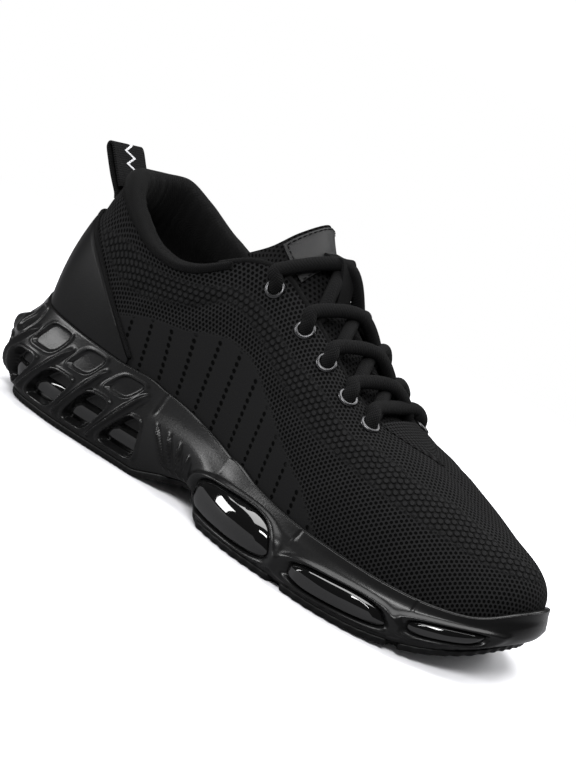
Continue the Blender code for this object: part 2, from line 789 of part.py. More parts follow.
def make_insole():
    stations = [Station(t) for t in PLACES]
    inset = UPPER_WALL + 2 * CLEARANCE
    low = CLEARANCE
    high = CLEARANCE + INSOLE_THICKNESS
    rings = [
        [s.offset(-s.upper_inset() - inset, s.bed + low) for s in stations],
        [s.offset(-s.upper_inset() - inset, s.bed + mix(low, high, 0.7)) for s in stations],
        [s.offset(-s.upper_inset() - inset - INSOLE_BEVEL, s.bed + high) for s in stations],
    ]
    return ringed_solid("insole", rings, "lining")


def make_upper():
    """One hollow wall, open at the collar, the throat and underneath."""
    body = bmesh.new()
    stations = [Station(t) for t in PLACES]
    rings = [[body.verts.new(s.offset(-s.upper_inset(), s.bed + CLEARANCE)) for s in stations]]
    for v in UPPER_ROWS:
        rings.append([body.verts.new(upper_curve(t, v)) for t in PLACES])
    join_rings(body, rings)
    bmesh.ops.remove_doubles(body, verts=body.verts, dist=0.00002)
    upper = mesh_object("upper", body, "knit")
    wall = upper.modifiers.new("wall", "SOLIDIFY")
    wall.thickness = UPPER_WALL
    wall.offset = -1.0
    wall.use_even_offset = True
    return upper


def heel_places(reach):
    """The outline's places round the heel, from the outer side to the inner one."""
    inside = [t for t in PLACES if 0.0 < t < reach]
    return [-reach] + [-t for t in reversed(inside)] + [0.0] + inside + [reach]


def band_solid(name, strips, thickness, finish, closed=False):
    """A sheet from rows of points, given its thickness towards its inner side."""
    body = bmesh.new()
    rings = [[body.verts.new(point) for point in strip] for strip in strips]
    join_rings(body, rings, closed)
    item = mesh_object(name, body, finish)
    wall = item.modifiers.new("wall", "SOLIDIFY")
    wall.thickness = thickness
    wall.offset = 1.0
    wall.use_even_offset = True
    return item


def counter_top(t):
    """How far up the upper the counter reaches at t, measured from the heel."""
    share = min(abs(t) / COUNTER_REACH, 1.0)
    edge = Smooth([row[0] for row in COUNTER_EDGE], [row[1:] for row in COUNTER_EDGE])
    return float(edge.at(share)[0])


def make_counter():
    """Smooth heel counter outside the upper, and the piping along its edge."""
    places = heel_places(COUNTER_REACH)
    rows = (0.0, 0.3, 0.65, 1.0)
    strips = []
    for row in rows:
        strips.append([
            upper_point(t % 2.0, mix(0.012, counter_top(t), row), -COUNTER_LIFT) for t in places
        ])
    counter = band_solid("heel_counter", strips, COUNTER_WALL, "synthetic")
    path = []
    lift = COUNTER_LIFT + PIPING_RADIUS
    rise = 0.030
    for t in places:
        path.append(upper_point(t % 2.0, counter_top(t) + rise, -lift))
    piping = tube("counter_piping", path, PIPING_RADIUS, 1, "synthetic")
    return [counter, piping]


def tube(name, path, radius, resolution, finish):
    """A round bar along a path, as a mesh with closed ends."""
    curve = bpy.data.curves.new(name, "CURVE")
    curve.dimensions = "3D"
    curve.bevel_depth = radius
    curve.bevel_resolution = resolution
    curve.use_fill_caps = True
    spline = curve.splines.new("POLY")
    spline.points.add(len(path) - 1)
    for point, place in zip(spline.points, path):
        point.co = (*place, 1.0)
    source = bpy.data.objects.new(name + "_curve", curve)
    bpy.data.collections[CUTTERS].objects.link(source)
    depsgraph = bpy.context.evaluated_depsgraph_get()
    mesh = bpy.data.meshes.new_from_object(source.evaluated_get(depsgraph))
    bpy.data.objects.remove(source)
    body = bmesh.new()
    body.from_mesh(mesh)
    bmesh.ops.remove_doubles(body, verts=body.verts, dist=0.00001)
    return mesh_object(name, body, finish)


def make_collar():
    """Padded lining inside the collar, thick at the rim and thin below."""
    start = UPPER_WALL + 2 * CLEARANCE
    body = bmesh.new()
    rings = []
    for t in heel_places(COLLAR_REACH):
        thin = 1.0 - COLLAR_TAPER * (abs(t) / COLLAR_REACH) ** 5
        ring = []
        for v, inward in COLLAR_SECTION:
            ring.append(body.verts.new(upper_point(t % 2.0, v, start + inward * thin * COLLAR_PAD)))
        rings.append(ring)
    join_rings(body, rings)
    body.faces.new(rings[0])
    body.faces.new(rings[-1])
    return mesh_object("collar_lining", body, "lining")


def tongue_row(share, rise, forward, sunk):
    """Seven points across the tongue at this place of the throat."""
    t = place_of_edge(share)
    depth = UPPER_WALL * (1 + sunk) + TONGUE_GAP
    outer = [upper_point(t, TONGUE_UNDER, depth), upper_point(t, 1.0, depth)]
    inner = [upper_point(2.0 - t, 1.0, depth), upper_point(2.0 - t, TONGUE_UNDER, depth)]
    between = []
    for across in TONGUE_ACROSS:
        crown = 1 - (2 * across - 1) ** 2
        point = outer[1].lerp(inner[0], across)
        between.append(point + Vector((forward, 0, rise)) * crown * COLLAR_HEIGHT)
    return outer + between + inner


def shares_row(share):
    """The tongue's row at any place between two rows of the table."""
    shares = [row[0] for row in TONGUE_ROWS[::-1]]
    values = [float(np.interp(share, shares, [row[k] for row in TONGUE_ROWS[::-1]])) for k in (1, 2, 3)]
    return tongue_row(share, *values)


def on_tongue(share):
    """Places for a lace's middle line: towards the outer edge, middle, inner edge."""
    row = shares_row(share)
    ahead = shares_row(share + 0.01)
    behind = shares_row(share - 0.01)
    found = []
    for i, end in ((2, 1), (3, 3), (4, 5)):
        normal = (row[i + 1] - row[i - 1]).cross(behind[i] - ahead[i]).normalized()
        found.append(row[i].lerp(row[end], LACE_TUCK) + normal * (LACE_RADIUS + LACE_LIFT))
    return found


def tongue_rows():
    rows = [tongue_row(*row) for row in TONGUE_ROWS]
    scale = Vector((SOLE_LENGTH, BALL_WIDTH, COLLAR_HEIGHT))
    outer = [Vector((along, -side, high)) * scale for along, side, high in TONGUE_TOP]
    inner = [Vector((point.x, -point.y, point.z)) for point in outer[-2::-1]]
    rows.append(outer + inner)
    return rows


def make_tongue():
    return band_solid("tongue", tongue_rows(), -TONGUE_PAD, "knit")


def make_eyelets(upper):
    """Rings set in holes along the throat, and where the laces leave them."""
    eyelets = []
    seats = []
    for side, turn in (("outer", 1), ("inner", -1)):
        for i, share in enumerate(EYELETS):
            t = place_of_edge(share)
            t = t if turn > 0 else 2.0 - t
            width = (upper_curve(t, 1.0) - upper_curve(t, 0.8)).length / 0.2
            v = 1.0 - EYELET_SETBACK / width
            place = upper_curve(t, v)
            normal = upper_normal(t, v)
            above = EYELET_SEAT + EYELET_THICKNESS + LACE_RADIUS + LACE_CLEAR
            brow = upper_point(t, 1.0, -LACE_RADIUS - LACE_CLEAR)
            seats.append((place + normal * above, brow))
            turned = normal.to_track_quat("Z", "Y").to_matrix().to_4x4()
            matrix = Matrix.Translation(place) @ turned
            name = "eyelet_%s_%d" % (side, i + 1)
            eyelets.append(ring_part(name, matrix))
            hole = bmesh.new()
            bmesh.ops.create_cone(
                hole, cap_ends=True, segments=EYELET_STEPS, radius1=EYELET_BARREL + CLEARANCE,
                radius2=EYELET_BARREL + CLEARANCE, depth=6 * UPPER_WALL, matrix=matrix,
            )
            boolean(upper, mesh_object(name + "_hole", hole), "DIFFERENCE")
    return eyelets, seats


def ring_part(name, matrix):
    """A turned grommet: a rim on the face and a barrel through the wall."""
    face = EYELET_SEAT + EYELET_THICKNESS
    profile = (
        (EYELET_RIM, EYELET_SEAT),
        (EYELET_BARREL, EYELET_SEAT),
        (EYELET_BARREL, -UPPER_WALL),
        (EYELET_HOLE, -UPPER_WALL),
        (EYELET_HOLE, face),
        (mix(EYELET_HOLE, EYELET_RIM, 0.6), face),
    )
    body = bmesh.new()
    verts = [body.verts.new((r, 0.0, z)) for r, z in profile]
    edges = [body.edges.new((a, b)) for a, b in zip(verts, verts[1:] + verts[:1])]
    bmesh.ops.spin(
        body, geom=verts + edges, cent=(0, 0, 0), axis=(0, 0, 1),
        angle=2 * math.pi, steps=EYELET_STEPS, use_merge=True,
    )
    bmesh.ops.remove_doubles(body, verts=body.verts, dist=0.00001)
    bmesh.ops.transform(body, matrix=matrix, verts=body.verts)
    return mesh_object(name, body, "metal")


def soft_path(points, steps):
    """A curve through these points, with this many steps between two of them."""
    keys = list(range(len(points)))
    curve = Smooth(keys, [tuple(point) for point in points])
    count = steps * (len(points) - 1)
    return [Vector(curve.at(i / steps)) for i in range(count + 1)]


def make_laces(seats):
    """Bar at the foot of the throat and four crossings above it."""
    count = len(EYELETS)
    outer = seats[:count]
    inner = seats[count:]
    middle = on_tongue(EYELETS[-1])[1]
    paths = [[*outer[-1], middle, *reversed(inner[-1])]]
    over = Vector((0.4, 0, 1.0)) * LACE_OVER * LACE_RADIUS
    for i in range(count - 1):
        outer_end, _, inner_end = on_tongue(EYELETS[i + 1])
        crossing = on_tongue((EYELETS[i] + EYELETS[i + 1]) / 2)[1]
        paths.append([*inner[i], crossing, outer_end])
        paths.append([*outer[i], crossing + over, inner_end])
    runs = []
    for i, points in enumerate(paths):
        runs.append(tube("lace_run_%d" % i, soft_path(points, 2), LACE_RADIUS, 1, "lace"))
    return runs


def join_laces(runs):
    """Unite the runs that touch, from the foot of the throat upwards."""
    first = runs[0]
    first.name = "lace"
    for run in runs[1:]:
        boolean(first, run, "UNION")
    apply_changes(first)
    for run in runs[1:]:
        bpy.data.objects.remove(run, do_unlink=True)
    return first


def make_label():
    """Plain satin label across the top of the tongue."""
    low, middle, high = tongue_rows()[LABEL_FROM:]
    strips = []
    for share in LABEL_LOW:
        strips.append([a.lerp(b, share) for a, b in zip(low, middle)][2:5])
    for share in LABEL_HIGH:
        strips.append([a.lerp(b, share) for a, b in zip(middle, high)][2:5])
    lifted = []
    for strip in strips:
        middle = strip[1]
        points = [middle.lerp(strip[0], LABEL_WIDE), middle, middle.lerp(strip[2], LABEL_WIDE)]
        lifted.append([point + LABEL_LIFT for point in points])
    return band_solid("tongue_label", lifted, LABEL_THICKNESS, "satin")


def make_pull_loop():
    """Folded webbing that leans back from the heel of the collar."""
    stand_off = -1.5 * CLEARANCE
    root = upper_point(0.0, LOOP_ROOT, stand_off)
    knee = upper_point(0.0, LOOP_KNEE, stand_off)
    lean = math.radians(LOOP_LEAN)
    up = Vector((-math.sin(lean), 0.0, math.cos(lean)))
    front = Vector((math.cos(lean), 0.0, math.sin(lean)))
    gap = 1.6 * WEBBING_THICKNESS
    path = [root, knee]
    path += [knee + up * LOOP_HEIGHT * s for s in (0.35, 0.75, 0.95)]
    path.append(knee + up * LOOP_HEIGHT + front * gap * 0.5)
    path += [knee + up * LOOP_HEIGHT * s + front * gap for s in (0.93, 0.6, 0.25)]
    strips = []
    for side in (-0.5, 0.5):
        strips.append([point + Vector((0, side * LOOP_WIDTH, 0)) for point in path])
    return band_solid("pull_loop", strips, WEBBING_THICKNESS, "knit")


def centre_on_floor():
    """Move the whole shoe so that the middle of its box is over the origin."""
    depsgraph = bpy.context.evaluated_depsgraph_get()
    corners = []
    parts = list(bpy.data.collections[MODEL].objects)
    for item in parts:
        mesh = item.evaluated_get(depsgraph).to_mesh()
        corners += [item.matrix_world @ vert.co for vert in mesh.vertices]
    low = Vector([min(c[i] for c in corners) for i in range(3)])
    high = Vector([max(c[i] for c in corners) for i in range(3)])
    shift = Vector((-(low.x + high.x) / 2, -(low.y + high.y) / 2, -low.z))
    for item in list(bpy.data.objects):
        item.location += shift


def build():
    clear_scene()
    make_outsole()
    midsole = make_midsole()
    cut_cage(midsole)
    add_ribs(midsole)
    make_pods(midsole)
    make_tube()
    make_insole()
    upper = make_upper()
    make_counter()
    make_collar()
    make_tongue()
    make_label()
    eyelets, seats = make_eyelets(upper)
    join_laces(make_laces(seats))
    make_pull_loop()
    bpy.context.view_layer.update()
    centre_on_floor()


build()
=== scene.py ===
"""Looks of the safety sneaker: knit upper, bubble sole, caged heel tube, laces."""

import math

import bmesh
import bpy
import numpy as np
from mathutils import Matrix, Vector


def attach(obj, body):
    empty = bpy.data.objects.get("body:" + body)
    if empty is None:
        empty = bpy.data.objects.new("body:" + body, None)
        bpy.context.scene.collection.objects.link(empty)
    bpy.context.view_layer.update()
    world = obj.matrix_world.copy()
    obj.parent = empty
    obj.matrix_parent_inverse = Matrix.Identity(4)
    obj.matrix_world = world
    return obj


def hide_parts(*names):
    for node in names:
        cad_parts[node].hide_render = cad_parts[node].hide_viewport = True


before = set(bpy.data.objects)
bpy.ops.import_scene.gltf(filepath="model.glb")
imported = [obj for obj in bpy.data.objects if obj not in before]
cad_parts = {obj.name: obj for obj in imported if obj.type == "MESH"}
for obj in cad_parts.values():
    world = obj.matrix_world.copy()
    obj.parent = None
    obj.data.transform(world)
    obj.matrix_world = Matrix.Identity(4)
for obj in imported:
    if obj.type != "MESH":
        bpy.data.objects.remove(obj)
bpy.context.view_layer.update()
bpy.ops.object.select_all(action="DESELECT")

# Sizes of the shoe, as in its source
SOLE_LENGTH = 0.298
BALL_WIDTH = 0.101
COLLAR_HEIGHT = 0.117
HEEL_STACK = 0.030
CUP_DEPTH = 0.0125
TOE_SPRING = 0.0205
ARCH_RISE = 0.0085
WALL_BULGE = 0.003
SIDE_BULGE = 0.010
CLEARANCE = 0.0003
UPPER_WALL = 0.0024
RIM_WALL = 0.0022
TREAD_THICKNESS = 0.0035
CAGE_WALL = 0.0034
TUBE_DEPTH = 0.0125
TUBE_BOTTOM = 0.0056
TUBE_HEIGHT = 0.0146
WINDOW_BOTTOM = 0.0072
WINDOW_TOP = 0.0250
PANEL_BOTTOM = 0.0300
PANEL_TOP = 0.0415
RIB_TOP = 0.0370
POD_PROUD = 0.0032
POD_DEPTH = 0.0060
POD_POWER = 3.2
LACE_RADIUS = 0.0031
SHIFT = Vector((-0.146879, 0.001460, 0.0))

STATIONS = (
    (0.000, 0.000, 0.000, 4.0, 3.6, 0.0, 0.10, 0.97, 1.64,
     0.076, 0.000, 0.000, 1.000, 0.000, 0.7, 0.00, 0.00, 0.7),
    (0.009, 0.212, 0.200, 3.8, 3.6, 0.0, 0.08, 0.97, 1.60,
     0.084, 0.110, 0.000, 0.998, 0.005, 0.7, 0.00, 0.00, 0.7),
    (0.056, 0.362, 0.346, 2.6, 2.9, 0.0, 0.03, 0.97, 1.44,
     0.109, 0.205, 0.000, 0.965, 0.045, 0.7, 0.00, 0.00, 0.6),
    (0.152, 0.404, 0.382, 1.4, 1.7, 0.0, 0.00, 0.98, 1.26,
     0.159, 0.267, 0.000, 0.885, 0.075, 0.7, 0.00, 0.00, 0.4),
    (0.250, 0.400, 0.363, 1.1, 1.0, 0.0, 0.00, 0.97, 1.16,
     0.227, 0.295, -0.005, 0.812, 0.075, 0.7, 0.05, 0.00, 0.3),
    (0.342, 0.391, 0.340, 1.1, 1.0, 0.0, 0.00, 0.92, 1.20,
     0.300, 0.287, -0.010, 0.830, 0.035, 0.7, 0.10, 0.10, 0.3),
    (0.404, 0.398, 0.330, 1.1, 1.0, 0.7, 0.00, 0.67, 1.16,
     0.378, 0.235, -0.010, 0.945, 0.005, 0.8, 0.30, 0.10, 0.3),
    (0.455, 0.417, 0.338, 1.0, 1.1, 1.0, 0.00, 0.53, 1.04,
     0.430, 0.205, -0.010, 0.952, 0.000, 0.8, 0.45, 0.30, 0.3),
    (0.498, 0.462, 0.376, 0.6, 1.9, 0.0, 0.00, 0.74, 0.94,
     0.482, 0.198, -0.008, 0.890, 0.000, 0.8, 0.60, 0.45, 0.3),
    (0.562, 0.512, 0.428, 0.4, 2.4, 0.0, 0.00, 0.66, 0.84,
     0.539, 0.192, -0.005, 0.806, 0.000, 0.9, 0.75, 0.48, 0.3),
    (0.653, 0.538, 0.477, 0.5, 1.9, 0.0, 0.00, 0.57, 0.80,
     0.599, 0.180, -0.002, 0.702, 0.000, 0.9, 0.85, 0.48, 0.3),
    (0.737, 0.545, 0.515, 0.4, 2.0, 0.0, 0.00, 0.52, 0.84,
     0.655, 0.155, 0.002, 0.636, 0.000, 1.0, 0.90, 0.40, 0.2),
    (0.818, 0.502, 0.497, 0.5, 1.6, 0.0, 0.04, 0.42, 0.95,
     0.702, 0.085, 0.004, 0.606, 0.000, 0.8, 1.00, 0.20, 0.2),
    (0.885, 0.423, 0.432, 0.8, 1.3, 0.0, 0.19, 0.38, 0.82,
     0.747, 0.000, 0.006, 0.577, 0.000, 0.75, 1.00, 0.15, 0.2),
    (0.940, 0.302, 0.310, 1.2, 0.9, 0.0, 0.45, 0.32, 0.74,
     0.821, 0.000, 0.008, 0.515, 0.000, 0.75, 1.00, 0.20, 0.2),
    (0.974, 0.158, 0.158, 1.8, 0.6, 0.0, 0.68, 0.27, 0.98,
     0.881, 0.000, 0.008, 0.474, 0.000, 0.8, 1.00, 0.22, 0.2),
    (0.985, 0.005, -0.005, 2.0, 0.5, 0.0, 0.75, 0.25, 1.08,
     0.906, 0.000, 0.006, 0.458, 0.000, 0.85, 1.00, 0.26, 0.2),
)
COLUMNS = (
    "along", "side", "tuck", "flare", "arch", "roll", "stack", "cup",
    "edge_along", "edge_gap", "edge_mid", "edge_height", "inner_lift",
    "full", "level", "slope", "bulge",
)
WALL_PROFILE = (
    (0.00, 1.00, 0.00), (0.12, 0.45, 0.00), (0.28, 0.12, 0.00), (0.46, 0.00, 0.03),
    (0.62, 0.00, 0.20), (0.78, 0.00, 0.66), (1.00, 0.00, 1.00),
)
WINDOWS = (
    (0.020, 0.074, 0.054, 0.104),
    (0.096, 0.144, 0.130, 0.175),
    (0.166, 0.216, 0.199, 0.243),
    (0.238, 0.281, 0.268, 0.308),
    (0.302, 0.368, 0.338, 0.362),
)
PANELS = (
    (0.014, 0.045, 0.028, 0.057, 1.16),
    (0.085, 0.119, 0.103, 0.136, 1.08),
    (0.149, 0.190, 0.165, 0.207, 1.02),
    (0.218, 0.256, 0.238, 0.276, 0.99),
    (0.286, 0.324, 0.308, 0.346, 0.96),
)
CAGE_RIBS = (
    (0.010, 0.075), (0.082, 0.147), (0.152, 0.217), (0.225, 0.281), (0.289, 0.350),
)
WAIST_RIBS = (
    (0.419, 0.385, 0.42, 0.94),
    (0.430, 0.408, 0.42, 0.93),
    (0.443, 0.430, 0.43, 0.89),
    (0.455, 0.450, 0.44, 0.81),
)
PODS = (
    ("rear", 0.468, 0.638, 0.482, 0.612, 0.22, 0.19, 0.76, 0.78, 0.8, 1.0),
    ("mid", 0.660, 0.812, 0.664, 0.784, 0.19, 0.28, 0.53, 0.60, 0.7, 1.0),
    ("toe", 0.824, 0.912, 0.824, 0.922, 0.38, 0.58, 0.60, 0.78, 0.3, 0.6),
)
NOTCHES = ((0.443, 0.024), (0.650, 0.010), (0.817, 0.008))
EYELETS = (0.423, 0.497, 0.549, 0.597, 0.640)


def mix(a, b, share):
    return a + (b - a) * share


def ease(value, low, high):
    """0 below low, 1 above high, soft between them."""
    x = np.clip((value - low) / (high - low), 0.0, 1.0)
    return x * x * (3 - 2 * x)


class Smooth:
    """A soft curve through table rows at rising keys, closed after a period."""

    def __init__(self, keys, rows, period=None):
        keys = np.array(keys, dtype=float)
        rows = np.array(rows, dtype=float)
        self.period = period
        if period:
            keys = np.concatenate([[keys[-1] - period], keys, [keys[0] + period]])
            rows = np.vstack([rows[-1], rows, rows[0]])
        steps = np.diff(keys)[:, None]
        slopes = np.diff(rows, axis=0) / steps
        pulls = np.empty_like(rows)
        pulls[0] = slopes[0]
        pulls[-1] = slopes[-1]
        pulls[1:-1] = (slopes[1:] * steps[:-1] + slopes[:-1] * steps[1:]) / (steps[1:] + steps[:-1])
        self.keys, self.rows, self.pulls = keys, rows, pulls

    def at(self, key):
        key = np.asarray(key, dtype=float)
        if self.period:
            key = key % self.period
        i = np.clip(np.searchsorted(self.keys, key, side="right") - 1, 0, len(self.keys) - 2)
        step = (self.keys[i + 1] - self.keys[i])[..., None]
        s = (key - self.keys[i])[..., None] / step
        return (
            (1 + 2 * s) * (1 - s) ** 2 * self.rows[i]
            + s * (1 - s) ** 2 * step * self.pulls[i]
            + s * s * (3 - 2 * s) * self.rows[i + 1]
            - s * s * (1 - s) * step * self.pulls[i + 1]
        )


def outline_keys():
    """Share of a side's length at which each station stands, the same on both sides."""
    outer = np.array([(row[0] * SOLE_LENGTH, -row[1] * BALL_WIDTH) for row in STATIONS])
    inner = np.array([(row[0] * SOLE_LENGTH, row[2] * BALL_WIDTH) for row in STATIONS])
    steps = np.hypot(*np.diff(outer, axis=0).T) + np.hypot(*np.diff(inner, axis=0).T)
    travelled = np.concatenate([[0.0], np.cumsum(steps)])
    return travelled / travelled[-1]


def round_the_shoe():
    """All columns of the stations as one closed curve round the shoe."""
    keys = outline_keys()
    outer = [(row[0], -row[1], *row[3:]) for row in STATIONS]
    inner = [(row[0], row[2], *row[3:]) for row in STATIONS]
    rows = outer + inner[-2:0:-1]
    around = list(keys) + [2.0 - key for key in keys[-2:0:-1]]
    return Smooth(around, rows, period=2.0)


AROUND = round_the_shoe()
COLUMN = {name: i for i, name in enumerate(COLUMNS)}


def side_length():
    points = AROUND.at(np.linspace(0.0, 1.0, 51))[:, :2] * (SOLE_LENGTH, BALL_WIDTH)
    return float(np.hypot(*np.diff(points, axis=0).T).sum())


SIDE_LENGTH = side_length()
PROFILE = Smooth([row[0] for row in WALL_PROFILE], [row[1:] for row in WALL_PROFILE])


def fold(t):
    """The same number for both sides of the shoe: 0 at the heel, 1 at the toe."""
    t = np.asarray(t) % 2.0
    return np.where(t > 1.0, 2.0 - t, t)


class Stations:
    """Heights, outline and the upper's edge at an array of places round the shoe."""

    def __init__(self, t):
        t = np.asarray(t, dtype=float)
        rows = AROUND.at(t)
        pick = {name: rows[..., i] for name, i in COLUMN.items()}
        ahead = AROUND.at(t + 0.002)
        behind = AROUND.at(t - 0.002)
        run_x = (ahead[..., 0] - behind[..., 0]) * SOLE_LENGTH
        run_y = (ahead[..., 1] - behind[..., 1]) * BALL_WIDTH
        size = np.hypot(run_x, run_y)
        none = np.zeros_like(t)
        self.out = np.stack([run_y / size, -run_x / size, none], -1)
        self.place = np.stack([pick["along"] * SOLE_LENGTH, pick["side"] * BALL_WIDTH, none], -1)
        self.floor = np.maximum(pick["arch"], 0) * ARCH_RISE + np.maximum(pick["roll"], 0) * TOE_SPRING
        self.bed = self.floor + pick["stack"] * HEEL_STACK
        self.rim = self.bed + pick["cup"] * CUP_DEPTH
        self.tuck = pick["tuck"] * WALL_BULGE
        self.flare = pick["flare"] * WALL_BULGE
        turn = np.where(t % 2.0 < 1.0, -1.0, 1.0)
        gap = np.maximum(pick["edge_gap"], 0.0)
        lift = np.where(turn > 0, np.maximum(pick["inner_lift"], 0.0), 0.0)
        self.edge = np.stack([
            pick["edge_along"] * SOLE_LENGTH,
            (pick["edge_mid"] + turn * gap) * BALL_WIDTH,
            (pick["edge_height"] + lift) * COLLAR_HEIGHT,
        ], -1)
        self.full = pick["full"]
        self.level = np.clip(pick["level"], 0.0, 1.0)
        self.slope = pick["slope"]
        self.bulge = pick["bulge"] * SIDE_BULGE
        self.inset = self.flare + RIM_WALL + CLEARANCE

    def offset(self, out, height):
        point = self.place + self.out * np.asarray(out)[..., None]
        point[..., 2] = height
        return point


def wall_point(t, height, proud=0.0):
    """Points on the side of the sole at these heights, moved out by proud."""
    s = Stations(t)
    base = s.floor + TREAD_THICKNESS
    share = np.clip((height - base) / (s.rim - base), 0.0, 1.0)
    foot_head = PROFILE.at(share)
    inset = foot_head[..., 0] * s.tuck + foot_head[..., 1] * s.flare
    return s.offset(proud - inset, height)


def upper_curve(t, v):
    """Outer face of the upper: v is 0 at the sole's rim and 1 at its edge."""
    s = Stations(t)
    v = np.asarray(v, dtype=float)[..., None]
    start = s.offset(-s.inset, s.rim)
    span = s.edge - start
    flat = span * (1.0, 1.0, 0.0)
    leave = flat * (1 - s.full)[..., None] + s.out * s.bulge[..., None]
    leave[..., 2] += span[..., 2] * (1 + 0.65 * s.full)
    reach = flat * (1 + 0.65 * s.level)[..., None]
    reach[..., 2] = span[..., 2] * (1 - s.level) - s.slope * reach[..., 0] * s.level
    return (
        start * ((1 + 2 * v) * (1 - v) ** 2)
        + leave * (v * (1 - v) ** 2)
        + s.edge * (v * v * (3 - 2 * v))
        - reach * (v * v * (1 - v))
    )


def upper_normal(t, v):
    step = 0.004
    v = np.clip(v, step, 1 - step)
    along = upper_curve(t + step, v) - upper_curve(t - step, v)
    up = upper_curve(t, v + step) - upper_curve(t, v - step)
    normal = np.cross(along, up)
    return normal / np.linalg.norm(normal, axis=-1, keepdims=True)


def upper_point(t, v, depth=0.0):
    t, v, depth = np.broadcast_arrays(t, v, depth)
    return upper_curve(t, v) - upper_normal(t, v) * depth[..., None]


def place_of_edge(share):
    """Where round the outer side the upper's edge passes this share of the length."""
    low, high = outline_keys()[5], outline_keys()[13]
    for _ in range(30):
        middle = (low + high) / 2
        if AROUND.at(middle)[COLUMN["edge_along"]] < share:
            low = middle
        else:
            high = middle
    return low


def crowded(count, crowding=0.06):
    """Places round the outline, closer together at the heel and the toe."""
    u = np.linspace(0.0, 1.0, count // 2 + 1)
    side = u - crowding * np.sin(2 * math.pi * u)
    return np.concatenate([side, 2.0 - side[-2:0:-1]])


# Making meshes
def add_piece(name, points, faces, uv=None, values=None, weld=0.00001):
    """A piece from points and faces, with its doubles merged. uv is one pair a loop."""
    points = np.asarray(points, dtype=float).reshape(-1, 3) + np.array(SHIFT)
    keys = np.round(points / weld).astype(np.int64)
    _, first, back = np.unique(keys, axis=0, return_index=True, return_inverse=True)
    back = back.reshape(-1)
    kept_faces = []
    kept_loops = []
    loop = 0
    for face in faces:
        mapped = [int(back[i]) for i in face]
        keep = [k for k in range(len(mapped)) if mapped[k] != mapped[k - 1]]
        if len(keep) > 2:
            kept_faces.append([mapped[k] for k in keep])
            kept_loops += [loop + k for k in keep]
        loop += len(face)
    mesh = bpy.data.meshes.new(name)
    mesh.from_pydata(points[first].tolist(), [], kept_faces)
    if uv is not None:
        layer = mesh.uv_layers.new(name="flat")
        layer.data.foreach_set("uv", np.asarray(uv, dtype=np.float32)[kept_loops].ravel())
    for key, value in (values or {}).items():
        attribute = mesh.attributes.new(key, "FLOAT", "POINT")
        attribute.data.foreach_set("value", np.asarray(value, dtype=np.float32).ravel()[first])
    mesh.validate()
    mesh.shade_smooth()
    item = bpy.data.objects.new(name, mesh)
    bpy.context.scene.collection.objects.link(item)
    return item


def grid_faces(rows, columns, closed):
    last = columns if closed else columns - 1
    faces = []
    for r in range(rows - 1):
        for c in range(last):
            d = (c + 1) % columns
            low, high = r * columns, (r + 1) * columns
            faces.append((low + c, low + d, high + d, high + c))
    return faces


def grid_uv(u, v):
    """Pairs for each loop of a grid: u and v are row by column."""
    rows, wide = u.shape
    last = wide - 1
    r = np.repeat(np.arange(rows - 1), last)
    c = np.tile(np.arange(last), rows - 1)
    pairs = []
    for dr, dc in ((0, 0), (0, 1), (1, 1), (1, 0)):
        pairs.append(np.stack([u[r + dr, c + dc], v[r + dr, c + dc]], -1))
    return np.stack(pairs, 1).reshape(-1, 2)


def arc_lengths(points, axis):
    steps = np.linalg.norm(np.diff(points, axis=axis), axis=-1)
    start = np.zeros_like(np.take(steps, [0], axis=axis))
    return np.concatenate([start, np.cumsum(steps, axis=axis)], axis=axis)


def flat_grid(points, closed):
    """UV pairs in metres along both ways of rows of points."""
    wide = np.concatenate([points, points[:, :1]], axis=1) if closed else points
    return grid_uv(arc_lengths(wide, 1), arc_lengths(wide, 0))


def turn_outward(item):
    body = bmesh.new()
    body.from_mesh(item.data)
    if body.calc_volume(signed=True) < 0:
        item.data.flip_normals()
    body.free()


def grid_piece(name, points, closed=False):
    """A sheet or a closed body from rows of points, with its own UV."""
    rows, columns = points.shape[:2]
    item = add_piece(name, points, grid_faces(rows, columns, closed), flat_grid(points, closed))
    if closed:
        turn_outward(item)
    return item


def only(item):
    bpy.ops.object.select_all(action="DESELECT")
    item.select_set(True)
    bpy.context.view_layer.objects.active = item


def wall(item, thickness, offset=-1.0, even=True):
    only(item)
    change = item.modifiers.new("wall", "SOLIDIFY")
    change.thickness = thickness
    change.offset = offset
    change.use_even_offset = even
    bpy.ops.object.modifier_apply(modifier=change.name)


def round_edges(item, width, segments=2, angle=50):
    only(item)
    change = item.modifiers.new("edges", "BEVEL")
    change.width = width
    change.segments = segments
    change.limit_method = "ANGLE"
    change.angle_limit = math.radians(angle)
    bpy.ops.object.modifier_apply(modifier=change.name)


def smooth_by_angle(item, angle=40):
    only(item)
    bpy.ops.object.shade_smooth_by_angle(angle=math.radians(angle))
    item.select_set(False)


def tube_points(path, radius, around):
    """Rings round a path with a steady frame, as rows of points."""
    path = np.asarray(path, dtype=float)
    ahead = np.gradient(path, axis=0)
    ahead /= np.linalg.norm(ahead, axis=1, keepdims=True)
    radius = np.broadcast_to(radius, (len(path),))
    side = np.cross(ahead[0], (0, 0, 1.0))
    side /= np.linalg.norm(side)
    rings = []
    for point, run, size in zip(path, ahead, radius):
        side = side - run * np.dot(side, run)
        side /= np.linalg.norm(side)
        up = np.cross(side, run)
        turn = np.linspace(0, 2 * math.pi, around, endpoint=False)[:, None]
        rings.append(point + (np.cos(turn) * side + np.sin(turn) * up) * size)
    return np.array(rings)


ROUNDED_END = ((0.6, 0.8), (0.9, 0.42), (1.0, 0.001))


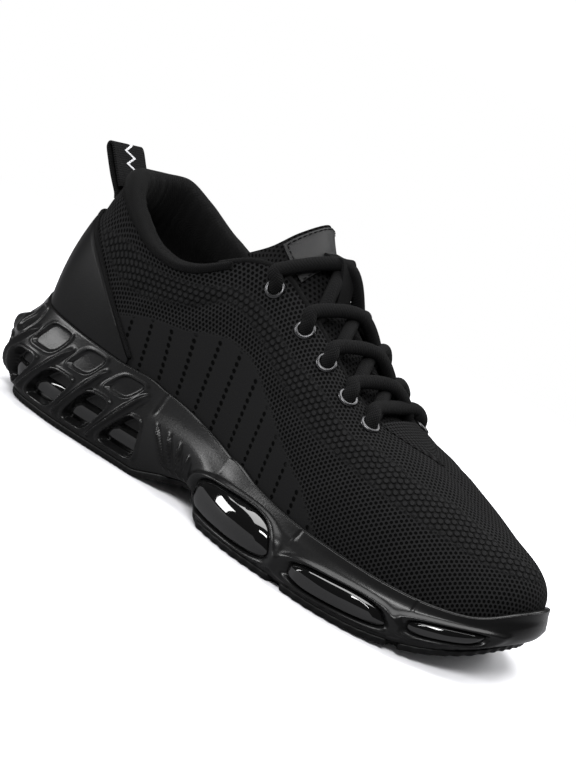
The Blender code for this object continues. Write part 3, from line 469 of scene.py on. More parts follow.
def tube_piece(name, path, radius, around):
    """A round bar with closed, rounded ends."""
    path = np.asarray(path, dtype=float)
    radius = np.broadcast_to(radius, (len(path),)).copy()
    ends = []
    for end, beside in ((0, 1), (-1, -2)):
        away = path[end] - path[beside]
        away /= np.linalg.norm(away)
        ends.append([(path[end] + away * radius[end] * a, radius[end] * b) for a, b in ROUNDED_END])
    first, last = ends[0][::-1], ends[1]
    path = np.vstack([[p for p, _ in first], path, [p for p, _ in last]])
    radius = np.concatenate([[r for _, r in first], radius, [r for _, r in last]])
    return grid_piece(name, tube_points(path, radius, around), closed=True)


def soft_path(points, steps):
    curve = Smooth(range(len(points)), points)
    return curve.at(np.linspace(0, len(points) - 1, steps * (len(points) - 1) + 1))


def joined(name, items):
    bpy.ops.object.select_all(action="DESELECT")
    for item in items:
        item.select_set(True)
    bpy.context.view_layer.objects.active = items[0]
    bpy.ops.object.join()
    items[0].name = name
    items[0].select_set(False)
    return items[0]


# Shader helpers
class Sheet:
    """A node tree with short ways to add and link its nodes."""

    def __init__(self, tree):
        self.tree = tree

    def put(self, kind, **settings):
        node = self.tree.nodes.new(kind)
        for key, value in settings.items():
            setattr(node, key, value)
        return node

    def feed(self, socket, value):
        if isinstance(value, bpy.types.NodeSocket):
            self.tree.links.new(value, socket)
        elif value is not None:
            socket.default_value = value

    def math(self, operation, a, b=None):
        node = self.put("ShaderNodeMath", operation=operation)
        self.feed(node.inputs[0], a)
        self.feed(node.inputs[1], b)
        return node.outputs[0]

    def product(self, a, b):
        return self.math("MULTIPLY", a, b)

    def sum(self, a, b):
        return self.math("ADD", a, b)

    def minus(self, a, b):
        return self.math("SUBTRACT", a, b)

    def length(self, a, b):
        return self.math("SQRT", self.sum(self.product(a, a), self.product(b, b)))

    def in_step(self, value):
        """Place within a repeat, from -0.5 to 0.5."""
        return self.minus(self.math("FRACT", value), 0.5)

    def soft(self, value, low, high):
        node = self.put("ShaderNodeMapRange", interpolation_type="SMOOTHSTEP")
        for name, given in (("Value", value), ("From Min", low), ("From Max", high)):
            self.feed(node.inputs[name], given)
        return node.outputs[0]

    def blend(self, share, a, b):
        node = self.put("ShaderNodeMix", data_type="RGBA")
        self.feed(node.inputs["Factor"], share)
        self.feed(node.inputs[6], a)
        self.feed(node.inputs[7], b)
        return node.outputs[2]

    def between(self, share, a, b):
        node = self.put("ShaderNodeMix", data_type="FLOAT")
        self.feed(node.inputs["Factor"], share)
        self.feed(node.inputs[2], a)
        self.feed(node.inputs[3], b)
        return node.outputs[0]

    def noise(self, vector, scale, detail):
        node = self.put("ShaderNodeTexNoise")
        self.feed(node.inputs["Vector"], vector)
        self.feed(node.inputs["Scale"], scale)
        node.inputs["Detail"].default_value = detail
        return node.outputs["Fac"]

    def attribute(self, name):
        return self.put("ShaderNodeAttribute", attribute_name=name).outputs["Fac"]

    def place(self):
        return self.put("ShaderNodeTexCoord").outputs["Object"]

    def flat(self):
        return self.put("ShaderNodeUVMap", uv_map="flat").outputs[0]

    def group(self, tree, **values):
        node = self.put("ShaderNodeGroup")
        node.node_tree = tree
        for name, value in values.items():
            self.feed(node.inputs[name], value)
        return node.outputs

    def bump(self, height, distance):
        node = self.put("ShaderNodeBump")
        node.inputs["Strength"].default_value = 1.0
        node.inputs["Distance"].default_value = distance
        self.feed(node.inputs["Height"], height)
        return node.outputs[0]


def new_group(name, inputs, outputs):
    tree = bpy.data.node_groups.new(name, "ShaderNodeTree")
    for label, kind, value in inputs:
        socket = tree.interface.new_socket(label, in_out="INPUT", socket_type=kind)
        if value is not None:
            socket.default_value = value
    for label, kind in outputs:
        tree.interface.new_socket(label, in_out="OUTPUT", socket_type=kind)
    sheet = Sheet(tree)
    return tree, sheet, sheet.put("NodeGroupInput").outputs, sheet.put("NodeGroupOutput").inputs


def staggered_dots():
    """Distance to the nearest point of a staggered net, in steps of the net."""
    tree, s, given, out = new_group(
        "staggered_dots",
        (("Vector", "NodeSocketVector", None), ("Pitch", "NodeSocketFloat", 0.0016)),
        (("Distance", "NodeSocketFloat"),),
    )
    parts = s.put("ShaderNodeSeparateXYZ")
    s.feed(parts.inputs[0], given["Vector"])
    x = s.math("DIVIDE", parts.outputs[0], given["Pitch"])
    y = s.math("DIVIDE", s.math("DIVIDE", parts.outputs[1], given["Pitch"]), 3 ** 0.5)
    nearest = None
    for shift in (0.0, 0.5):
        dx = s.in_step(s.sum(x, shift))
        dy = s.product(s.in_step(s.sum(y, shift)), 3 ** 0.5)
        far = s.length(dx, dy)
        nearest = far if nearest is None else s.math("MINIMUM", nearest, far)
    s.feed(out["Distance"], nearest)
    return tree


def fine_grain():
    """Even grain and a slow variation of tone for any finish."""
    tree, s, given, out = new_group(
        "fine_grain",
        (("Vector", "NodeSocketVector", None), ("Scale", "NodeSocketFloat", 900.0)),
        (("Grain", "NodeSocketFloat"), ("Tone", "NodeSocketFloat")),
    )
    s.feed(out["Grain"], s.noise(given["Vector"], given["Scale"], 2.0))
    s.feed(out["Tone"], s.noise(given["Vector"], 38.0, 3.0))
    return tree


def braid():
    """Crossed slanting strands for laces and webbing, in metres of the piece's UV."""
    tree, s, given, out = new_group(
        "braid",
        (
            ("Vector", "NodeSocketVector", None), ("Across", "NodeSocketFloat", 0.0012),
            ("Along", "NodeSocketFloat", 0.0016),
        ),
        (("Height", "NodeSocketFloat"),),
    )
    parts = s.put("ShaderNodeSeparateXYZ")
    s.feed(parts.inputs[0], given["Vector"])
    a = s.math("DIVIDE", parts.outputs[0], given["Across"])
    b = s.math("DIVIDE", parts.outputs[1], given["Along"])
    one = s.math("SINE", s.product(s.sum(a, b), math.pi))
    two = s.math("SINE", s.product(s.minus(a, b), math.pi))
    s.feed(out["Height"], s.product(s.math("ABSOLUTE", one), s.math("ABSOLUTE", two)))
    return tree


DOTS = staggered_dots()
GRAIN = fine_grain()
BRAID = braid()


def new_material(name, color, roughness, **sockets):
    made = bpy.data.materials.new(name)
    made.use_nodes = True
    shader = made.node_tree.nodes["Principled BSDF"]
    shader.inputs["Base Color"].default_value = (*color, 1.0)
    shader.inputs["Roughness"].default_value = roughness
    for key, value in sockets.items():
        shader.inputs[key].default_value = value
    return made, Sheet(made.node_tree), shader


def shade(value):
    return (value, value, value * 1.03, 1.0)


def knit_material():
    """Engineered knit: fine holes, raised knots and a smooth dotted side panel."""
    made, s, shader = new_material("knit", (0.006, 0.006, 0.006), 0.82, **{
        "Sheen Weight": 0.01, "Sheen Roughness": 0.45, "Specular IOR Level": 0.03,
    })
    flat = s.flat()
    panel = s.attribute("panel")
    knots = s.attribute("knots")
    holes = s.group(DOTS, Vector=flat, Pitch=0.0021)["Distance"]
    hole = s.soft(holes, 0.40, 0.24)
    hole = s.product(hole, s.minus(1.0, s.math("MAXIMUM", panel, knots)))
    bead = s.soft(s.group(DOTS, Vector=flat, Pitch=0.0031)["Distance"], 0.50, 0.24)
    knot = s.product(bead, knots)
    # Painted shade: the sunk ground round each raised knot is darkened toward the hole colour; the holes
    # and pinholes are the knit's own pattern.
    gap = s.product(s.product(s.minus(1.0, bead), knots), 0.70)
    line = s.attribute("dot_line")
    step = s.attribute("dot_step")
    away = s.length(s.product(s.in_step(line), 11.0), s.product(s.in_step(step), 3.0))
    pin = s.product(s.soft(away, 1.25, 0.65), s.attribute("dots_on"))
    grain = s.group(GRAIN, Vector=s.place(), Scale=1500.0)
    dark = s.math("MAXIMUM", s.math("MAXIMUM", hole, gap), pin)
    yarn = s.blend(grain["Tone"], shade(0.0078), shade(0.0110))
    yarn = s.blend(s.product(panel, 0.8), yarn, shade(0.0072))
    s.feed(shader.inputs["Base Color"], s.blend(dark, yarn, shade(0.0003)))
    height = s.product(dark, -1.0)
    height = s.sum(height, s.product(knot, 1.6))
    height = s.sum(height, s.product(panel, 0.35))
    height = s.sum(height, s.product(grain["Grain"], 0.18))
    s.feed(shader.inputs["Normal"], s.bump(height, 0.0005))
    return made


def mesh_material(name, pitch, yarn, hole_size):
    """Padded air mesh with open round holes."""
    made, s, shader = new_material(name, (yarn,) * 3, 0.85, **{
        "Sheen Weight": 0.01, "Specular IOR Level": 0.03,
    })
    far = s.group(DOTS, Vector=s.flat(), Pitch=pitch)["Distance"]
    hole = s.soft(far, hole_size + 0.08, hole_size - 0.08)
    grain = s.group(GRAIN, Vector=s.place(), Scale=1400.0)
    base = s.blend(grain["Tone"], shade(yarn * 0.8), shade(yarn * 1.2))
    s.feed(shader.inputs["Base Color"], s.blend(hole, base, shade(0.0005)))
    height = s.minus(s.product(grain["Grain"], 0.2), hole)
    s.feed(shader.inputs["Normal"], s.bump(height, 0.0006))
    return made


def cloth_material(name, tone, thread, sheen=0.03, roughness=0.85):
    """Close woven cloth."""
    made, s, shader = new_material(name, (tone,) * 3, roughness, **{
        "Sheen Weight": sheen, "Specular IOR Level": 0.03,
    })
    weave = s.group(BRAID, Vector=s.flat(), Across=thread, Along=thread)["Height"]
    grain = s.group(GRAIN, Vector=s.place(), Scale=1200.0)
    # Painted shade and highlight: the weave's low places get the darker tone and its crests a lighter one.
    low = s.blend(grain["Tone"], shade(tone * 0.6), shade(tone * 0.85))
    s.feed(shader.inputs["Base Color"], s.blend(weave, low, shade(tone * 1.25)))
    height = s.sum(weave, s.product(grain["Grain"], 0.3))
    s.feed(shader.inputs["Normal"], s.bump(height, 0.00025))
    return made


def moulded_material(name, tone, roughness, grain_height, coat=0.0, scale=1100.0, clear=1.5, shine=0.5):
    """Moulded rubber, foam or plastic with a fine skin grain and light scuffs."""
    made, s, shader = new_material(name, (tone,) * 3, roughness, **{
        "Coat Weight": coat, "IOR": clear, "Specular IOR Level": shine,
    })
    grain = s.group(GRAIN, Vector=s.place(), Scale=scale)
    s.feed(shader.inputs["Base Color"], s.blend(grain["Tone"], shade(tone * 0.85), shade(tone * 1.2)))
    s.feed(shader.inputs["Roughness"], s.between(grain["Tone"], roughness * 0.85, roughness * 1.15))
    s.feed(shader.inputs["Normal"], s.bump(grain["Grain"], grain_height))
    return made


def satin_material():
    """Satin ribbon of fine crossed threads; the stitched border round the label is a piece of its own."""
    made, s, shader = new_material("satin", (0.012, 0.012, 0.012), 0.42, **{
        "Anisotropic": 0.3, "Specular IOR Level": 0.25,
    })
    flat = s.flat()
    weave = s.group(BRAID, Vector=flat, Across=0.0005, Along=0.0012)["Height"]
    # Painted highlight and shade: the weave's crests are lighter and the places between them darker.
    s.feed(shader.inputs["Base Color"], s.blend(weave, shade(0.0085), shade(0.0150)))
    s.feed(shader.inputs["Normal"], s.bump(weave, 0.0001))
    return made


def webbing_material():
    """Ribbed webbing with a plain light zigzag down its middle."""
    made, s, shader = new_material("webbing", (0.006, 0.006, 0.006), 0.8, **{
        "Sheen Weight": 0.01, "Specular IOR Level": 0.03,
    })
    flat = s.flat()
    parts = s.put("ShaderNodeSeparateXYZ")
    s.feed(parts.inputs[0], flat)
    across = s.minus(parts.outputs[0], LOOP_WIDTH / 2)
    wave = s.math("PINGPONG", parts.outputs[1], 0.0032)
    middle = s.product(s.minus(wave, 0.0016), 1.9)
    away = s.math("ABSOLUTE", s.minus(across, middle))
    line = s.soft(away, 0.00125, 0.00085)
    rib = s.math("ABSOLUTE", s.math("SINE", s.product(parts.outputs[1], math.pi / 0.0011)))
    cross = s.group(BRAID, Vector=flat, Across=0.0009, Along=0.0011)["Height"]
    # Painted highlight and shade: the ribs are lighter on their crests and darker between them, and the
    # white line is lighter on its strands' crests.
    base = s.blend(rib, shade(0.0030), shade(0.0080))
    white = s.blend(cross, shade(0.45), shade(0.75))
    s.feed(shader.inputs["Base Color"], s.blend(line, base, white))
    height = s.sum(cross, s.product(line, 0.5))
    height = s.sum(s.product(rib, 0.6), height)
    s.feed(shader.inputs["Normal"], s.bump(height, 0.0003))
    return made


LOOP_WIDTH = 0.0235
KNIT = knit_material()
TONGUE_MESH = mesh_material("tongue_mesh", 0.0026, 0.0060, 0.27)
LINING = cloth_material("lining", 0.0038, 0.0010, 0.02)
INSOLE = cloth_material("insole_cloth", 0.0060, 0.0016, 0.01)
LACE = cloth_material("lace_braid", 0.0062, 0.0014, 0.01)
BINDING = cloth_material("binding", 0.0060, 0.0007, 0.01)
FOAM = moulded_material("foam", 0.0042, 0.28, 0.00003, shine=0.22)
RUBBER = moulded_material("rubber", 0.0042, 0.45, 0.00005, shine=0.12)
GLOSS = moulded_material("gloss", 0.0020, 0.04, 0.0, coat=0.25, scale=60.0, clear=1.5)
SYNTHETIC = moulded_material("synthetic", 0.0052, 0.40, 0.00006, scale=1600.0, shine=0.08)
METAL = moulded_material("metal", 0.060, 0.34, 0.00002)
METAL.node_tree.nodes["Principled BSDF"].inputs["Metallic"].default_value = 1.0
SATIN = satin_material()
WEBBING = webbing_material()


def finish_piece(item, material, slot, *nodes):
    item.data.materials.clear()
    item.data.materials.append(material)
    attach(item, "root")
    if nodes:
        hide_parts(*nodes)


# The sole
def block_distance(f, z, corners, heights, power):
    """How far outside a rounded block of the side each place lies, in metres."""
    across = np.full_like(f, 0.5)
    for _ in range(4):
        low = mix(heights[0], heights[1], across)
        high = mix(heights[2], heights[3], across)
        up = np.clip((z - low) / (high - low), -0.5, 1.5)
        left = mix(corners[0], corners[2], up)
        right = mix(corners[1], corners[3], up)
        across = np.clip((f - left) / (right - left), -1.0, 2.0)
    a = np.abs(2 * across - 1)
    b = np.abs(2 * up - 1)
    spread = (a ** power + b ** power) ** (1 / power)
    half = min((corners[1] - corners[0]) * SIDE_LENGTH, heights[2] - heights[0]) / 2
    return (spread - 1) * half


def ridge(distance, middle, width):
    return np.exp(-((distance - middle) / width) ** 2)


def rib_field(f, z, foot, head, low, high, half):
    """1 along a rib's crest, falling to 0 at its sides and ends."""
    share = np.clip((z - low) / (high - low), 0.0, 1.0)
    across = (f - mix(foot, head, share)) * SIDE_LENGTH
    ends = ease(z, low - 0.001, low + 0.002) * (1 - ease(z, high - 0.004, high + 0.0015))
    return (1 - ease(np.abs(across), 0.15 * half, half)) * ends, np.abs(across), ends


# Heights and half widths of the sole's relief
RIB_HEIGHT, RIB_HALF = 0.0014, 0.0029
RIB_CREST, CREST_HALF = 0.0016, 0.00075
WAIST_SINK, WAIST_HALF = 0.0010, 0.0026
WIRE_HEIGHT, WIRE_HALF = 0.0032, 0.0009
POD_LIP, POD_SINK = 0.0011, 0.0030
PANEL_LIP, PANEL_SINK = 0.0006, 0.0011
WINDOW_LIP, WINDOW_SINK = 0.0012, 0.0058
BLOCK_POWER = 4.0
MOULD_LINES = ((0.372, 0.030), (0.648, 0.018), (0.822, 0.018))
MOULD_LINE_DEPTH = 0.0004


def sole_relief(f, z):
    """How far the side of the sole stands out or in at each place."""
    relief = np.zeros_like(f)
    for foot, head in CAGE_RIBS:
        body, across, ends = rib_field(f, z, foot, head, WINDOW_BOTTOM - 0.0016, RIB_TOP, RIB_HALF)
        relief = np.maximum(relief, RIB_HEIGHT * body)
        relief += RIB_CREST * ridge(across, 0.0, CREST_HALF) * ends
    for foot, head, *heights in WAIST_RIBS:
        low, high = (value * HEEL_STACK for value in heights)
        body, across, ends = rib_field(f, z, foot, head, low, high, WAIST_HALF)
        relief -= WAIST_SINK * body
        relief += WIRE_HEIGHT * ridge(across, 0.0, WIRE_HALF) * ends
    for label, *v in PODS:
        heights = [value * HEEL_STACK for value in v[4:8]]
        away = block_distance(f, z, v[:4], heights, POD_POWER)
        relief += POD_LIP * ridge(away, 0.0012, 0.0008)
        relief -= POD_SINK * (1 - ease(away, -0.0006, 0.0005))
    for *corners, share in PANELS:
        top = PANEL_TOP * share
        away = block_distance(f, z, corners, (PANEL_BOTTOM, PANEL_BOTTOM, top, top), BLOCK_POWER)
        relief -= PANEL_SINK * (1 - ease(away, -0.0007, 0.0003))
        relief += PANEL_LIP * ridge(away, 0.0007, 0.0005)
    heights = (WINDOW_BOTTOM, WINDOW_BOTTOM, WINDOW_TOP, WINDOW_TOP)
    for corners in WINDOWS:
        away = block_distance(f, z, corners, heights, BLOCK_POWER)
        relief += WINDOW_LIP * ridge(away, 0.0009, 0.0006)
        inside = 1 - ease(away, -0.0007, 0.0002)
        relief = relief * (1 - inside) - WINDOW_SINK * inside
    for place, low in MOULD_LINES:
        across = (f - place - (z - low) * 0.5) * SIDE_LENGTH
        relief -= MOULD_LINE_DEPTH * ridge(across, 0.0, 0.0005) * ease(z, low, low + 0.003)
    return relief


def middle_line(ring):
    """Each point of a ring moved to the middle line of the shoe."""
    return (ring + np.roll(ring[::-1], 1, axis=0)) / 2


def make_midsole():
    """Foam cup with the cage, pod pockets, waist wires and mould lines in its side."""
    t = crowded(1080, 0.03)
    s = Stations(t)
    base = s.floor + TREAD_THICKNESS
    rows = []
    for share in np.linspace(0.0, 0.985, 70):
        z = mix(base, s.rim, share)
        rows.append(wall_point(t, z, sole_relief(fold(t), z) * ease(share, 0.0, 0.03)))
    for out, up in ((0.0, 0.0), (0.18, 0.45), (0.5, 0.62), (0.82, 0.45), (1.0, 0.0)):
        z = s.rim - 0.0004 + up * 0.0008
        rows.append(s.offset(-s.flare - out * RIM_WALL, z))
    rows.append(s.offset(-s.flare - RIM_WALL, mix(s.bed, s.rim, 0.4)))
    rows.append(s.offset(-s.flare - RIM_WALL, s.bed))
    rows = [middle_line(rows[0]), *rows, middle_line(rows[-1])]
    item = grid_piece("sole_cup", np.array(rows), closed=True)
    finish_piece(item, FOAM, "foam", "midsole")


def make_pod(label, values, side):
    """A glossy bubble with a softly faceted face."""
    corners = list(values[:4]) if side == "outer" else [2.0 - v for v in values[:4]]
    heights = [value * HEEL_STACK for value in values[4:8]]
    depths = (-values[9] * POD_DEPTH, values[8] * POD_PROUD)
    body = bmesh.new()
    bmesh.ops.create_cube(body, size=2.0)
    bmesh.ops.subdivide_edges(body, edges=body.edges, cuts=27, use_grid_fill=True)
    co = np.array([vert.co for vert in body.verts])
    faces = [[vert.index for vert in face.verts] for face in body.faces]
    body.free()
    a, b, c = co.T
    reach = np.maximum(np.abs(a), np.abs(b))
    spread = (np.abs(a) ** POD_POWER + np.abs(b) ** POD_POWER) ** (1 / POD_POWER)
    scale = np.where(spread > 0, reach / np.maximum(spread, 1e-9), 1.0)
    a, b = a * scale, b * scale
    whole = np.maximum(reach, np.abs(c))
    flat = np.hypot(reach, c)
    soft = mix(1.0, whole / flat, 0.78)
    a, b, c = a * soft, b * soft, c * soft
    across, up = (a + 1) / 2, (b + 1) / 2
    t = mix(mix(corners[0], corners[1], across), mix(corners[2], corners[3], across), up)
    z = mix(mix(heights[0], heights[1], across), mix(heights[2], heights[3], across), up)
    points = wall_point(t, z, mix(depths[0], depths[1], (c + 1) / 2))
    if side == "inner":
        faces = [face[::-1] for face in faces]
    item = add_piece("bubble_%s_%s" % (label, side), points, faces)
    finish_piece(item, GLOSS, "gloss", "pod_%s_%s" % (label, side))


def with_ends(rings):
    """Rings of points with a cap drawn in to the centre at both ends."""
    middle = np.repeat(rings.mean(axis=1, keepdims=True), rings.shape[1], 1)
    return np.vstack([middle[:1], rings, middle[-1:]])


def make_tube():
    """Clear black air tube behind the cage, with two fine ridges along it."""
    reach = WINDOWS[-1][1]
    t = np.linspace(-reach, reach, 260)
    turn = np.linspace(0, 2 * math.pi, 48, endpoint=False)
    power = 2.6
    across = np.sign(np.cos(turn)) * np.abs(np.cos(turn)) ** (2 / power)
    up = np.sign(np.sin(turn)) * np.abs(np.sin(turn)) ** (2 / power)
    ridges = 0.00035 * (ridge(up, 0.15, 0.05) + ridge(up, -0.35, 0.04)) * (across > 0)
    rows = []
    for place in t:
        z = TUBE_BOTTOM + TUBE_HEIGHT * (up + 1) / 2
        depth = mix(CAGE_WALL + TUBE_DEPTH, CAGE_WALL + 0.0007, (across + 1) / 2) - ridges
        rows.append(wall_point(np.full_like(z, place), z, -depth))
    item = grid_piece("air_tube", with_ends(np.array(rows)), closed=True)
    finish_piece(item, GLOSS, "gloss", "heel_air_tube")


GROOVE_DEPTH, GROOVE_PITCH, FINE_PITCH = 0.0016, 0.0105, 0.0035
LOBE_PITCH, LOBE_DEPTH = 0.0062, 0.0007
SAW_PITCH, SAW_DEPTH = 0.0028, 0.0003
NOTCH_DEPTH = 0.0040
TREAD_ROUNDING = 0.0012


def tread_depth(points, floor):
    """Grooves of the tread at each point of its underside."""
    x, y = points[..., 0], points[..., 1]
    slant = x + 0.35 * np.abs(y)
    across = np.abs((slant / GROOVE_PITCH) % 1.0 - 0.5) * GROOVE_PITCH
    groove = 1 - ease(across, 0.0007, 0.0013)
    fine = np.abs((slant / FINE_PITCH) % 1.0 - 0.5) * FINE_PITCH
    groove = np.maximum(groove, 0.35 * (1 - ease(fine, 0.0002, 0.0006)))
    spine = 1 - ease(np.abs(y), 0.0008, 0.0016)
    arch = ease(floor, 0.2 * ARCH_RISE, 0.6 * ARCH_RISE)
    return GROOVE_DEPTH * np.maximum(groove, spine) * (1 - 0.7 * arch)


def make_outsole():
    """Tread band with scalloped edges, notches and slanting grooves below."""
    t = crowded(900, 0.02)
    s = Stations(t)
    f = fold(t)
    run = f * SIDE_LENGTH
    lobes = 0.5 + 0.5 * np.cos(2 * math.pi * run / LOBE_PITCH)
    saw = 0.5 + 0.5 * np.cos(2 * math.pi * run / SAW_PITCH)
    front = ease(f, 0.45, 0.47)
    scallop = LOBE_DEPTH * lobes * front + SAW_DEPTH * saw * (1 - front)
    cut = np.zeros_like(f)
    for place, half in NOTCHES:
        cut = np.maximum(cut, 1 - ease(np.abs(f - place) / half, 0.55, 1.15))
    inset = NOTCH_DEPTH * cut
    top = TREAD_THICKNESS - CLEARANCE
    edge = -s.tuck - inset - scallop
    bottom = []
    ring = s.offset(edge - TREAD_ROUNDING, s.floor)
    for w in np.concatenate([np.linspace(1.0, 0.08, 30), [0.045, 0.02]]):
        row = mix(ring, middle_line(ring), w)
        row[..., 2] += tread_depth(row, s.floor) * ease(w, 0.03, 0.09)
        bottom.append(row)
    rows = [ring, s.offset(edge - 0.0004, s.floor + 0.0004)]
    rows.append(s.offset(edge, s.floor + TREAD_ROUNDING))
    rows.append(s.offset(mix(edge, -s.tuck, 0.6), s.floor + mix(TREAD_ROUNDING, top, 0.6)))
    rows.append(s.offset(-s.tuck - 0.6 * inset, s.floor + top))
    rows.append(middle_line(rows[-1]))
    item = grid_piece("tread", np.array(bottom + rows), closed=True)
    finish_piece(item, RUBBER, "rubber", "outsole")


def make_insole():
    """Loose sheet on the bed of the cup, a little dished."""
    t = crowded(360)
    s = Stations(t)
    inset = s.inset + UPPER_WALL + 2 * CLEARANCE
    low = s.bed + CLEARANCE
    rows = [s.offset(-inset, low)]
    rows.append(s.offset(-inset, low + 0.0030))
    rows.append(s.offset(-inset - 0.0005, low + 0.0038))
    rows.append(s.offset(-inset - 0.0018, low + 0.0042))
    ring = rows[-1]
    for w in np.linspace(0.08, 1.0, 16):
        row = mix(ring, middle_line(ring), w)
        row[..., 2] -= 0.0012 * math.sin(w * math.pi / 2)
        rows.append(row)
    item = grid_piece("insole_sheet", np.array([middle_line(rows[0]), *rows]), closed=True)
    finish_piece(item, INSOLE, "lining", "insole")


# The upper
PANEL_EDGE = (
    (0.24, 0.20), (0.268, 0.28), (0.290, 0.35), (0.317, 0.405), (0.36, 0.43), (0.42, 0.405),
    (0.46, 0.39), (0.490, 0.355), (0.522, 0.29), (0.578, 0.21), (0.622, 0.15), (0.656, 0.04), (0.69, -0.12),
)
KNOT_EDGES = (
    # place, lower and upper height of the raised knots
    (0.10, 0.66, 0.68), (0.156, 0.56, 0.72), (0.228, 0.47, 0.84), (0.283, 0.48, 0.86),
    (0.35, 0.60, 0.88), (0.406, 0.62, 0.80), (0.46, 0.48, 0.68), (0.522, 0.40, 0.62),
    (0.594, 0.37, 0.68), (0.661, 0.42, 0.66), (0.722, 0.42, 0.76), (0.811, 0.38, 0.68),
    (0.894, 0.39, 0.76), (0.95, 0.40, 0.72), (1.0, 0.41, 0.70),
)
# Soft creases: place and height of both ends, then depth and half width
CREASES = (
    (0.700, 0.34, 0.745, 0.93, 0.0007, 0.0060),
    (0.740, 0.30, 0.800, 0.90, 0.0006, 0.0055),
    (0.640, 0.20, 0.690, 0.62, 0.0004, 0.0060),
    (0.330, 0.50, 0.420, 0.72, 0.0006, 0.0070),
    (0.255, 0.34, 0.300, 0.72, 0.0006, 0.0060),
    (0.060, 0.62, 0.150, 0.80, 0.0005, 0.0060),
    (0.500, 0.30, 0.590, 0.44, 0.0004, 0.0060),
)
SIDE_HEIGHT = 0.08
LINE_FROM = 0.283
LINE_STEP = 0.0335
DOT_STEP = 0.0030


def table_at(rows, key):
    table = np.array(rows)
    return [np.interp(key, table[:, 0], table[:, i]) for i in range(1, table.shape[1])]


def crease_depth(f, v):
    """How deep the listed creases lie at each place of the upper."""
    depth = np.zeros_like(f)
    for t0, v0, t1, v1, deep, half in CREASES:
        px, py = (f - t0) * SIDE_LENGTH, (v - v0) * SIDE_HEIGHT
        qx, qy = (t1 - t0) * SIDE_LENGTH, (v1 - v0) * SIDE_HEIGHT
        share = np.clip((px * qx + py * qy) / (qx * qx + qy * qy), 0.0, 1.0)
        away = np.hypot(px - share * qx, py - share * qy)
        fade = np.sin(math.pi * np.clip(share, 0.04, 0.96))
        depth += deep * fade * (ridge(away, 0.0, half * 0.5) - 0.45 * ridge(away, half * 1.3, half * 0.6))
    return depth


def make_upper():
    """Knit upper: last-shaped shell with creases, its panels marked for the knit."""
    t = crowded(460, 0.045)
    s = Stations(t)
    rows = []
    for share in (0.0, 0.5):
        rows.append(s.offset(-s.inset, mix(s.bed + CLEARANCE, s.rim, share)))
    heights = np.concatenate([[0.0], np.linspace(0.02, 0.995, 58), [1.0]])
    grid_t, grid_v = np.meshgrid(t, heights)
    f = fold(grid_t)
    normals = upper_normal(grid_t, grid_v)
    skin = upper_curve(grid_t, grid_v)
    sink = crease_depth(f, grid_v) * ease(grid_v, 0.0, 0.1) * (1 - ease(grid_v, 0.86, 0.97))
    sink *= 1 - 0.6 * (grid_t > 1.0)
    skin -= normals * sink[..., None]
    points = np.concatenate([np.array(rows), skin])
    all_v = np.concatenate([np.full((2, len(t)), -0.03), grid_v])
    all_f = np.concatenate([np.tile(fold(t), (2, 1)), f])
    edge = table_at(PANEL_EDGE, all_f)[0]
    panel = ease(edge - all_v, -0.008, 0.008) * (all_f > 0.245) * (all_f < 0.70)
    low, high = table_at(KNOT_EDGES, all_f)
    knots = ease(all_v - low, 0.0, 0.07) * ease(high - all_v, 0.0, 0.07) * ease(all_f, 0.12, 0.18)
    line = (all_f + 0.004 * (all_v - 0.4) - LINE_FROM) / LINE_STEP + 0.5
    step = arc_lengths(points, 0) / DOT_STEP
    keep = ease(edge - all_v, 0.02, 0.03)
    values = {
        "panel": panel, "knots": knots * (1 - panel), "dot_line": line, "dot_step": step,
        "dots_on": keep * panel,
    }
    faces = grid_faces(len(points), len(t), True)
    item = add_piece("knit_upper", points, faces, flat_grid(points, True), values)
    flatten(item)
    wall(item, UPPER_WALL, even=False)
    cut = eyelet_cutters()
    change = item.modifiers.new("eyelet_holes", "BOOLEAN")
    change.object = cut
    change.solver = "EXACT"
    bpy.ops.object.modifier_apply(modifier="eyelet_holes")
    bpy.data.objects.remove(cut, do_unlink=True)
    smooth_by_angle(item, 50)
    finish_piece(item, KNIT, "knit", "upper")


def two_sides(values, start):
    """Length of the first two sides of each face together."""
    first = np.linalg.norm(values[start] - values[start + 1], axis=1)
    return first + np.linalg.norm(values[start + 1] - values[start + 2], axis=1)


def flatten(item):
    """Lay the upper flat as it is cut, open at the heel, and scale its UV to metres."""
    only(item)
    mesh = item.data
    middle = SHIFT.y
    for edge in mesh.edges:
        a, b = (mesh.vertices[i].co for i in edge.vertices)
        at_heel = max(a.x, b.x) < SHIFT.x + 0.05
        edge.use_seam = at_heel and abs(a.y - middle) < 0.0003 and abs(b.y - middle) < 0.0003
    bpy.ops.object.mode_set(mode="EDIT")
    bpy.ops.mesh.select_all(action="SELECT")
    bpy.ops.uv.unwrap(method="MINIMUM_STRETCH", iterations=10, margin=0.0)
    bpy.ops.object.mode_set(mode="OBJECT")
    count = len(mesh.loops)
    uv = np.empty(count * 2, dtype=np.float32)
    mesh.uv_layers["flat"].data.foreach_get("uv", uv)
    uv = uv.reshape(-1, 2)
    vert = np.empty(count, dtype=np.int32)
    mesh.loops.foreach_get("vertex_index", vert)
    co = np.empty(len(mesh.vertices) * 3, dtype=np.float32)
    mesh.vertices.foreach_get("co", co)
    co = co.reshape(-1, 3)[vert]
    start = np.array([p.loop_start for p in mesh.polygons if p.loop_total == 4])
    real, flat = (two_sides(values, start) for values in (co, uv))
    scale = np.median(real / np.maximum(flat, 1e-9))
    x, y, z = co[start].T
    side = (y < middle) & (np.abs(x) < 0.03) & (z < 0.07)
    run = (uv[start + 1] - uv[start])[side].mean(axis=0)
    run /= np.linalg.norm(run)
    turned = np.stack([uv @ run, uv @ np.array([-run[1], run[0]])], -1) * scale
    mesh.uv_layers["flat"].data.foreach_set("uv", turned.astype(np.float32).ravel())


EYELET_FROM_EDGE = 0.0085
EYELET_HOLE = 0.0031


